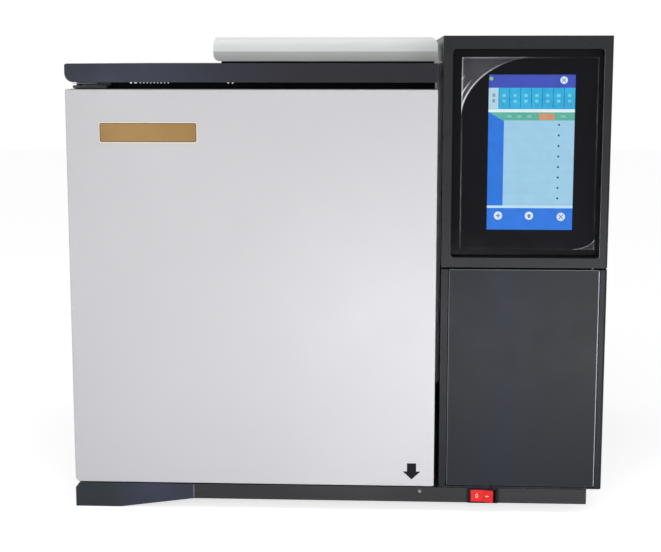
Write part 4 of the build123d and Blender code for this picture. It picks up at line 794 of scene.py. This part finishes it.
def makeEdges():
    low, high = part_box("service_door")
    wide, thick = edges["wide"] * mm, edges["thick"] * mm
    y0, y1 = low.y - thick, low.y
    edgeStrip("serviceGlintRight", "service_door", ((high.x - wide, y0, low.z + mm), (high.x, y1, high.z - mm)))
    edgeStrip("serviceGlintLeft", "service_door", ((low.x, y0, low.z + mm), (low.x + wide, y1, high.z - mm)))
    edgeStrip("serviceGlintTop", "service_door", ((low.x + wide, y0, high.z - wide), (high.x - wide, y1, high.z)))
    footLow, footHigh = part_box("skirt_foot_left")
    skirtLow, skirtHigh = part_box("skirt_front")
    split = edges["seamSplit"]
    edgeStrip("skirtSeamGlint", "chassis", ((footHigh.x - wide * split, footLow.y - thick, skirtLow.z + mm),
                                       (footHigh.x + wide * (1 - split), footLow.y, skirtHigh.z - mm)))
    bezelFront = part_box("screen_bezel")[0].y
    edgeStrip("bezelGlint", "chassis", ((glassHigh.x - wide / 2, bezelFront - thick, glassLow.z),
                                        (glassHigh.x, bezelFront, glassHigh.z)))
    # under the deck's front edge: a painted highlight on the hinge plate's lip, and painted glints along the gap
    plateLow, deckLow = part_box("oven_hinge_brackets")[0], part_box("top_deck")[0]
    lipTop = deckLow.z - edges["lipDrop"] * mm
    edgeStrip("hingeLipGlint", "chassis", ((plateLow.x, plateLow.y - thick, lipTop - edges["glint"] * mm),
                                      (plateLow.x + edges["glintLong"] * mm, plateLow.y, lipTop)))
    front = deckLow.y + edges["chipIn"] * mm
    edgeStrip("deckGlints", "chassis", *[((deckLow.x + start * mm, front, deckLow.z - edges["chip"] * mm),
                                         (deckLow.x + (start + long) * mm, front + thick, deckLow.z))
                                        for start, long in edges["chips"]])


makeEdges()

# marks on the mains rocker

rocker = {"half": 11.4, "middle": 1.15, "wing": 3.7, "tilt": 10.0, "proud": 0.1, "place": 0.46, "ring": 2.0,
          "ringWall": 0.6, "squeeze": 0.7, "bar": 1.7, "barHalf": 0.35, "steps": 28}
joints = {joint["name"]: joint for joint in frame["joints"]}


def makeRockerMarks():
    # a ring and a bar, each lying on its own wing of the rocker, which rests turned to the pressed-in wing
    paint = coat("markPaint", (0.95, 0.62, 0.36), rough=0.4, grain=0.1, mottle=0.1)
    pivot = Vector(joints["switch_rocker_tilt"]["pos_m"])
    place = Matrix.Translation(pivot) @ Matrix.Rotation(math.radians(-rocker["tilt"]), 4, "Z")
    drop = pivot.y - frontPlane
    rise = rocker["wing"] - rocker["middle"]
    slope = math.atan2(rise, rocker["half"])
    depth = drop + (rocker["middle"] + rise * rocker["place"]) * mm
    proud = -rocker["proud"] * mm
    bm = bmesh.new()
    for way, shape in ((-1, "ring"), (1, "bar")):
        lean = (Matrix.Translation((way * rocker["half"] * rocker["place"] * mm, -depth, 0))
                @ Matrix.Rotation(-way * slope, 4, "Z"))
        before = set(bm.verts)
        if shape == "ring":
            outer = discPoints(0, 0, rocker["ring"] * mm, rocker["steps"])
            inner = discPoints(0, 0, (rocker["ring"] - rocker["ringWall"]) * mm, rocker["steps"])
            squeeze = rocker["squeeze"]
            addRing(bm, [(x * squeeze, z) for x, z in outer], [(x * squeeze, z) for x, z in inner], proud, 0.0)
        else:
            bar, half = rocker["bar"] * mm, rocker["barHalf"] * mm
            addBox(bm, (-bar, proud, -half), (bar, 0.0, half))
        bmesh.ops.transform(bm, matrix=place @ lean, verts=[v for v in bm.verts if v not in before])
    finishMesh(bm, "rockerMarks", paint, "switch_rocker")


makeRockerMarks()

# wound column on its cage

column = {"turns": 9, "layers": 4, "tube": 0.55, "swell": 1.25, "thick": 6.0, "first": 0.8, "layerStep": 1.45,
          "shift": 0.35, "wobble": 0.12}


def ringTube(bm, middle, radius, tube, segments=96, sides=8):
    # a closed tube round the Y axis
    rings = []
    for n in range(segments):
        turn = 2 * math.pi * n / segments
        out = Vector((math.cos(turn), 0, math.sin(turn)))
        ring = []
        for k in range(sides):
            bend = 2 * math.pi * k / sides
            ring.append(bm.verts.new(middle + out * (radius + tube * math.cos(bend))
                                     + Vector((0, tube * math.sin(bend), 0))))
        rings.append(ring)
    for n in range(segments):
        first, second = rings[n], rings[(n + 1) % segments]
        for k in range(sides):
            bm.faces.new((first[k], first[(k + 1) % sides], second[(k + 1) % sides], second[k]))


def makeColumn():
    low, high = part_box("capillary_column")
    middle = (low + high) / 2
    inner = (high.x - low.x) / 2 - column["thick"] * mm
    amber = coat("columnAmber", (0.36, 0.15, 0.035), rough=0.28, grain=0.2, scale=300.0, mottle=0.25, spread=0.1,
                 Coat_Weight=0.3)
    bm = bmesh.new()
    tube = column["tube"] * mm
    rows = column["turns"]
    pitch = (high.y - low.y - 2 * tube) / (rows - 1)
    for row in range(rows):
        for layer in range(column["layers"]):
            radius = inner + (column["first"] + layer * column["layerStep"] + column["shift"] * (row % 2)) * mm
            wobble = random.uniform(-column["wobble"], column["wobble"]) * mm
            centre = Vector((middle.x, low.y + tube + row * pitch + wobble / 2, middle.z))
            ringTube(bm, centre, radius + wobble, tube * column["swell"], segments=80, sides=6)
    finishMesh(bm, "woundColumn", amber, "chassis", smooth=60, replaces=("capillary_column",))


random.seed(11)
makeColumn()


heater = {"radius": 108.0, "tube": 3.0, "back": 22.0, "posts": 4, "post": 6.0}


def makeHeater():
    low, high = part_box("oven_heater")
    middle = (low + high) / 2
    radius = heater["radius"] * mm
    bm = bmesh.new()
    ringTube(bm, Vector((middle.x, high.y - heater["back"] * mm, middle.z)), radius, heater["tube"] * mm, sides=12)
    finishMesh(bm, "heaterTube", heaterSheath, "chassis", smooth=60)
    ceramic = coat("ceramic", (0.72, 0.68, 0.58), rough=0.6, grain=0.5, scale=500.0, mottle=0.1)
    bm = bmesh.new()
    for n in range(heater["posts"]):
        turn = 2 * math.pi / heater["posts"] * n
        x, z = middle.x + radius * math.cos(turn), middle.z + radius * math.sin(turn)
        addRod(bm, (x, high.y, z), (x, low.y, z), heater["post"] * mm, segments=32)
    finishMesh(bm, "heaterPosts", ceramic, "chassis", smooth=40, replaces=("oven_heater",))


makeHeater()

# injector nuts, knob scales, gasket weave, screw recesses

# levels: height up the nut, and share of the full radius there
nuts = {"ribs": 44, "groove": 0.45, "hole": 1.0, "levels": ((0.0, 0.93), (0.10, 1.0), (0.82, 1.0), (1.0, 0.86))}


def makeNuts():
    low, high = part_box("septum_nuts")
    radius, y = (high.y - low.y) / 2, (low.y + high.y) / 2
    knurled = brushed("knurledSteel", (0.60, 0.60, 0.61), stretch=(40.0, 40.0, 900.0), rough=0.26, depth=0.3)
    count = nuts["ribs"] * 2
    turns = [math.pi * n / nuts["ribs"] for n in range(count)]
    reaches = [radius - (nuts["groove"] * mm if n % 2 else 0.0) for n in range(count)]
    bm = bmesh.new()
    for x in (low.x + radius, high.x - radius):
        rings = [[bm.verts.new((x + reach * share * math.cos(turn), y + reach * share * math.sin(turn),
                                low.z + (high.z - low.z) * height)) for turn, reach in zip(turns, reaches)]
                 for height, share in nuts["levels"]]
        rings += [[bm.verts.new((x + nuts["hole"] * mm * math.cos(turn), y + nuts["hole"] * mm * math.sin(turn), z))
                   for turn in turns] for z in (high.z, low.z)]
        for first, second in zip(rings, rings[1:] + rings[:1]):
            for n in range(count):
                bm.faces.new((first[n], first[(n + 1) % count], second[(n + 1) % count], second[n]))
    finishMesh(bm, "knurledNuts", knurled, "chassis", smooth=30, replaces=("septum_nuts",))


makeNuts()


knobScale = {"ticks": 25, "from": -150, "step": 12.5, "inner": 15.4, "every": 4, "long": 19.0, "short": 17.0,
             "bold": 0.36, "fine": 0.22, "proud": 0.06, "pointerHalf": 0.5, "pointerLow": 2.0, "pointerHigh": 9.5,
             "pointerProud": 0.12, "pointerIn": 0.02}


def makeKnobScales():
    # a ring of plain ticks on the panel round each knob, and a pointer line on the knob
    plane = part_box("gas_panel")[0].y - knobScale["proud"] * mm
    ink = coat("scaleInk", (0.02, 0.02, 0.022), rough=0.5, grain=0.1, mottle=0.1)
    pale = coat("pointerPaint", (0.75, 0.75, 0.73), rough=0.5, grain=0.1, mottle=0.1)
    half = knobScale["pointerHalf"] * mm
    bm = bmesh.new()
    for name in ("carrier_knob", "hydrogen_knob", "air_knob"):
        low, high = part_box(name)
        middle = (low + high) / 2
        centre = Vector((middle.x, plane, middle.z))
        for n in range(knobScale["ticks"]):
            turn = math.radians(knobScale["from"] + knobScale["step"] * n)
            size, weight = ("short", "fine") if n % knobScale["every"] else ("long", "bold")
            reach, wide = knobScale[size] * mm, knobScale[weight] * mm
            along = Vector((math.sin(turn), 0, math.cos(turn)))
            side = Vector((along.z, 0, -along.x)) * wide
            start, end = centre + along * knobScale["inner"] * mm, centre + along * reach
            bm.faces.new([bm.verts.new(place) for place in (start - side, end - side, end + side, start + side)])
        y0, y1 = low.y - knobScale["pointerProud"] * mm, low.y + knobScale["pointerIn"] * mm
        line = bmesh.new()
        addBox(line, (middle.x - half, y0, middle.z + knobScale["pointerLow"] * mm),
               (middle.x + half, y1, middle.z + knobScale["pointerHigh"] * mm))
        finishMesh(line, name.split("_")[0] + "Pointer", pale, name)
    finishMesh(bm, "knobScales", ink, "chassis")


makeKnobScales()


def makeGasket():
    # woven rope look on the CAD gasket: two crossed waves for its colour and bump; the colour darkens where the bump
    # sinks, as painted shade in the weave's grooves
    rope, tree, bsdf = newMaterial("gasketRope", Roughness=0.9)
    where = node(tree, "ShaderNodeTexCoord").outputs["Object"]
    waves = []
    for turn in (40, -40):
        place = node(tree, "ShaderNodeMapping")
        place.inputs["Rotation"].default_value = (0, math.radians(turn), 0)
        tree.links.new(where, place.inputs["Vector"])
        wave = node(tree, "ShaderNodeTexWave", wave_type="BANDS")
        wave.inputs["Scale"].default_value = 160.0
        wave.inputs["Distortion"].default_value = 0.6
        tree.links.new(place.outputs["Vector"], wave.inputs["Vector"])
        waves.append(wave.outputs["Fac"])
    cross = calc(tree, "MULTIPLY", *waves)
    tree.links.new(mixColor(tree, cross, (0.34, 0.32, 0.27), (0.66, 0.64, 0.57)), bsdf.inputs["Base Color"])
    bump = node(tree, "ShaderNodeBump")
    bump.inputs["Strength"].default_value = 0.6
    bump.inputs["Distance"].default_value = 0.0006
    tree.links.new(cross, bump.inputs["Height"])
    tree.links.new(bump.outputs["Normal"], bsdf.inputs["Normal"])
    dress("door_gasket", rope)


makeGasket()


screwSlot = {"head": 7.0, "long": 3.2, "wide": 0.7, "proud": 0.08, "flat": 0.01}


def makeScrewSlots():
    # cross recesses in the cover screws' heads, as dark shallow crosses: painted shade standing in for the hollows
    dark = coat("recessShade", (0.03, 0.03, 0.03), rough=0.7, grain=0.2, mottle=0.1)
    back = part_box("cover_screws")[1].y
    groups = []     # the points of each head's flat end
    for vert in frame["nodes"]["cover_screws"].data.vertices:
        if abs(vert.co.y - back) > screwSlot["flat"] * mm:
            continue
        for group in groups:
            if (group[0] - vert.co).length < screwSlot["head"] * mm:
                group.append(vert.co.copy())
                break
        else:
            groups.append([vert.co.copy()])
    bm = bmesh.new()
    arms = (screwSlot["long"], screwSlot["wide"])
    for group in groups:
        middle = sum(group, Vector()) / len(group)
        for wide, tall in (arms, arms[::-1]):
            addBox(bm, (middle.x - wide / 2 * mm, back, middle.z - tall / 2 * mm),
                   (middle.x + wide / 2 * mm, back + screwSlot["proud"] * mm, middle.z + tall / 2 * mm))
    finishMesh(bm, "screwRecesses", dark, "chassis")


makeScrewSlots()
print("small pieces made")

# light, floor and camera

studio = {"world": 0.34, "floorTone": 0.93, "floorLift": 0.66, "floorRadius": 6.0, "floorDrop": 0.0004}
# place, aim, width, height, power
softboxes = {
    "keySoftbox": ((1.15, -1.55, 0.30), (0.0, -0.2, 0.1), 1.1, 0.9, 4.0),
    "fillSoftbox": ((-0.9, -1.9, 0.50), (0.0, -0.1, 0.35), 1.2, 1.0, 12.0),
    "lowSoftbox": ((0.30, -0.80, 0.05), (0.05, -0.25, 0.05), 0.9, 0.25, 4.7),
    "topSoftbox": ((-0.1, -0.75, 1.30), (-0.02, -0.05, 0.45), 0.9, 0.4, 2.45),
}


def makeStudio():
    world = bpy.data.worlds.new("paleRoom")
    bpy.context.scene.world = world
    world.use_nodes = True
    tree = world.node_tree
    back = tree.nodes["Background"]
    seen = node(tree, "ShaderNodeLightPath")
    both = calc(tree, "MAXIMUM", seen.outputs["Is Camera Ray"], seen.outputs["Is Transmission Ray"])
    tree.links.new(ramp(tree, both, 0.0, 1.0, studio["world"], 1.0), back.inputs["Strength"])
    back.inputs["Color"].default_value = (1, 1, 1, 1)

    floorPaint, tree, bsdf = newMaterial("floorPaint", Roughness=0.9)
    shade = noiseNode(tree, node(tree, "ShaderNodeTexCoord").outputs["Object"], 2.0, 2.0)
    tone = studio["floorTone"]
    tree.links.new(mixColor(tree, shade.outputs["Fac"], (tone, tone, tone), (tone * 0.99, tone * 0.99, tone)),
                   bsdf.inputs["Base Color"])
    bsdf.inputs["Specular IOR Level"].default_value = 0.1
    shine = node(tree, "ShaderNodeEmission")
    shine.inputs["Color"].default_value = (1, 1, 1, 1)
    path = node(tree, "ShaderNodeLightPath")
    lift = calc(tree, "MULTIPLY", path.outputs["Is Camera Ray"], studio["floorLift"])
    tree.links.new(lift, shine.inputs["Strength"])
    total = node(tree, "ShaderNodeAddShader")
    tree.links.new(bsdf.outputs[0], total.inputs[0])
    tree.links.new(shine.outputs[0], total.inputs[1])
    tree.links.new(total.outputs[0], tree.nodes["Material Output"].inputs["Surface"])
    bm = bmesh.new()
    bmesh.ops.create_circle(bm, cap_ends=True, segments=64, radius=studio["floorRadius"],
                            matrix=Matrix.Translation((0, 0, cadLow.z - studio["floorDrop"])))
    mesh = bpy.data.meshes.new("floor")
    bm.to_mesh(mesh)
    bm.free()
    mesh.materials.append(floorPaint)
    floor = bpy.data.objects.new("floor", mesh)
    bpy.context.scene.collection.objects.link(floor)

    for name, (place, aim, wide, high, power) in softboxes.items():
        data = bpy.data.lights.new(name, "AREA")
        data.shape = "RECTANGLE"
        data.size, data.size_y, data.energy = wide, high, power
        lamp = bpy.data.objects.new(name, data)
        lamp.location = place
        lamp.rotation_euler = (Vector(aim) - Vector(place)).to_track_quat("-Z", "Y").to_euler()
        bpy.context.scene.collection.objects.link(lamp)


makeStudio()

view = {"x": 64.8, "back": 1400.0, "z": 458.3, "pitch": 8.68, "yaw": 2.88, "focal": 1407.5, "imageWidth": 661.0}


def makeCamera():
    data = bpy.data.cameras.new("camera")
    data.sensor_fit = "HORIZONTAL"
    data.sensor_width = 36.0
    data.lens = view["focal"] / view["imageWidth"] * data.sensor_width
    camera = bpy.data.objects.new("camera", data)
    camera.location = (view["x"] * mm, frontPlane - view["back"] * mm, view["z"] * mm)
    camera.rotation_euler = (math.radians(90 - view["pitch"]), 0, math.radians(view["yaw"]))
    bpy.context.scene.collection.objects.link(camera)
    bpy.context.scene.camera = camera


makeCamera()
bpy.context.scene.view_settings.view_transform = "Standard"
print("studio and camera made")
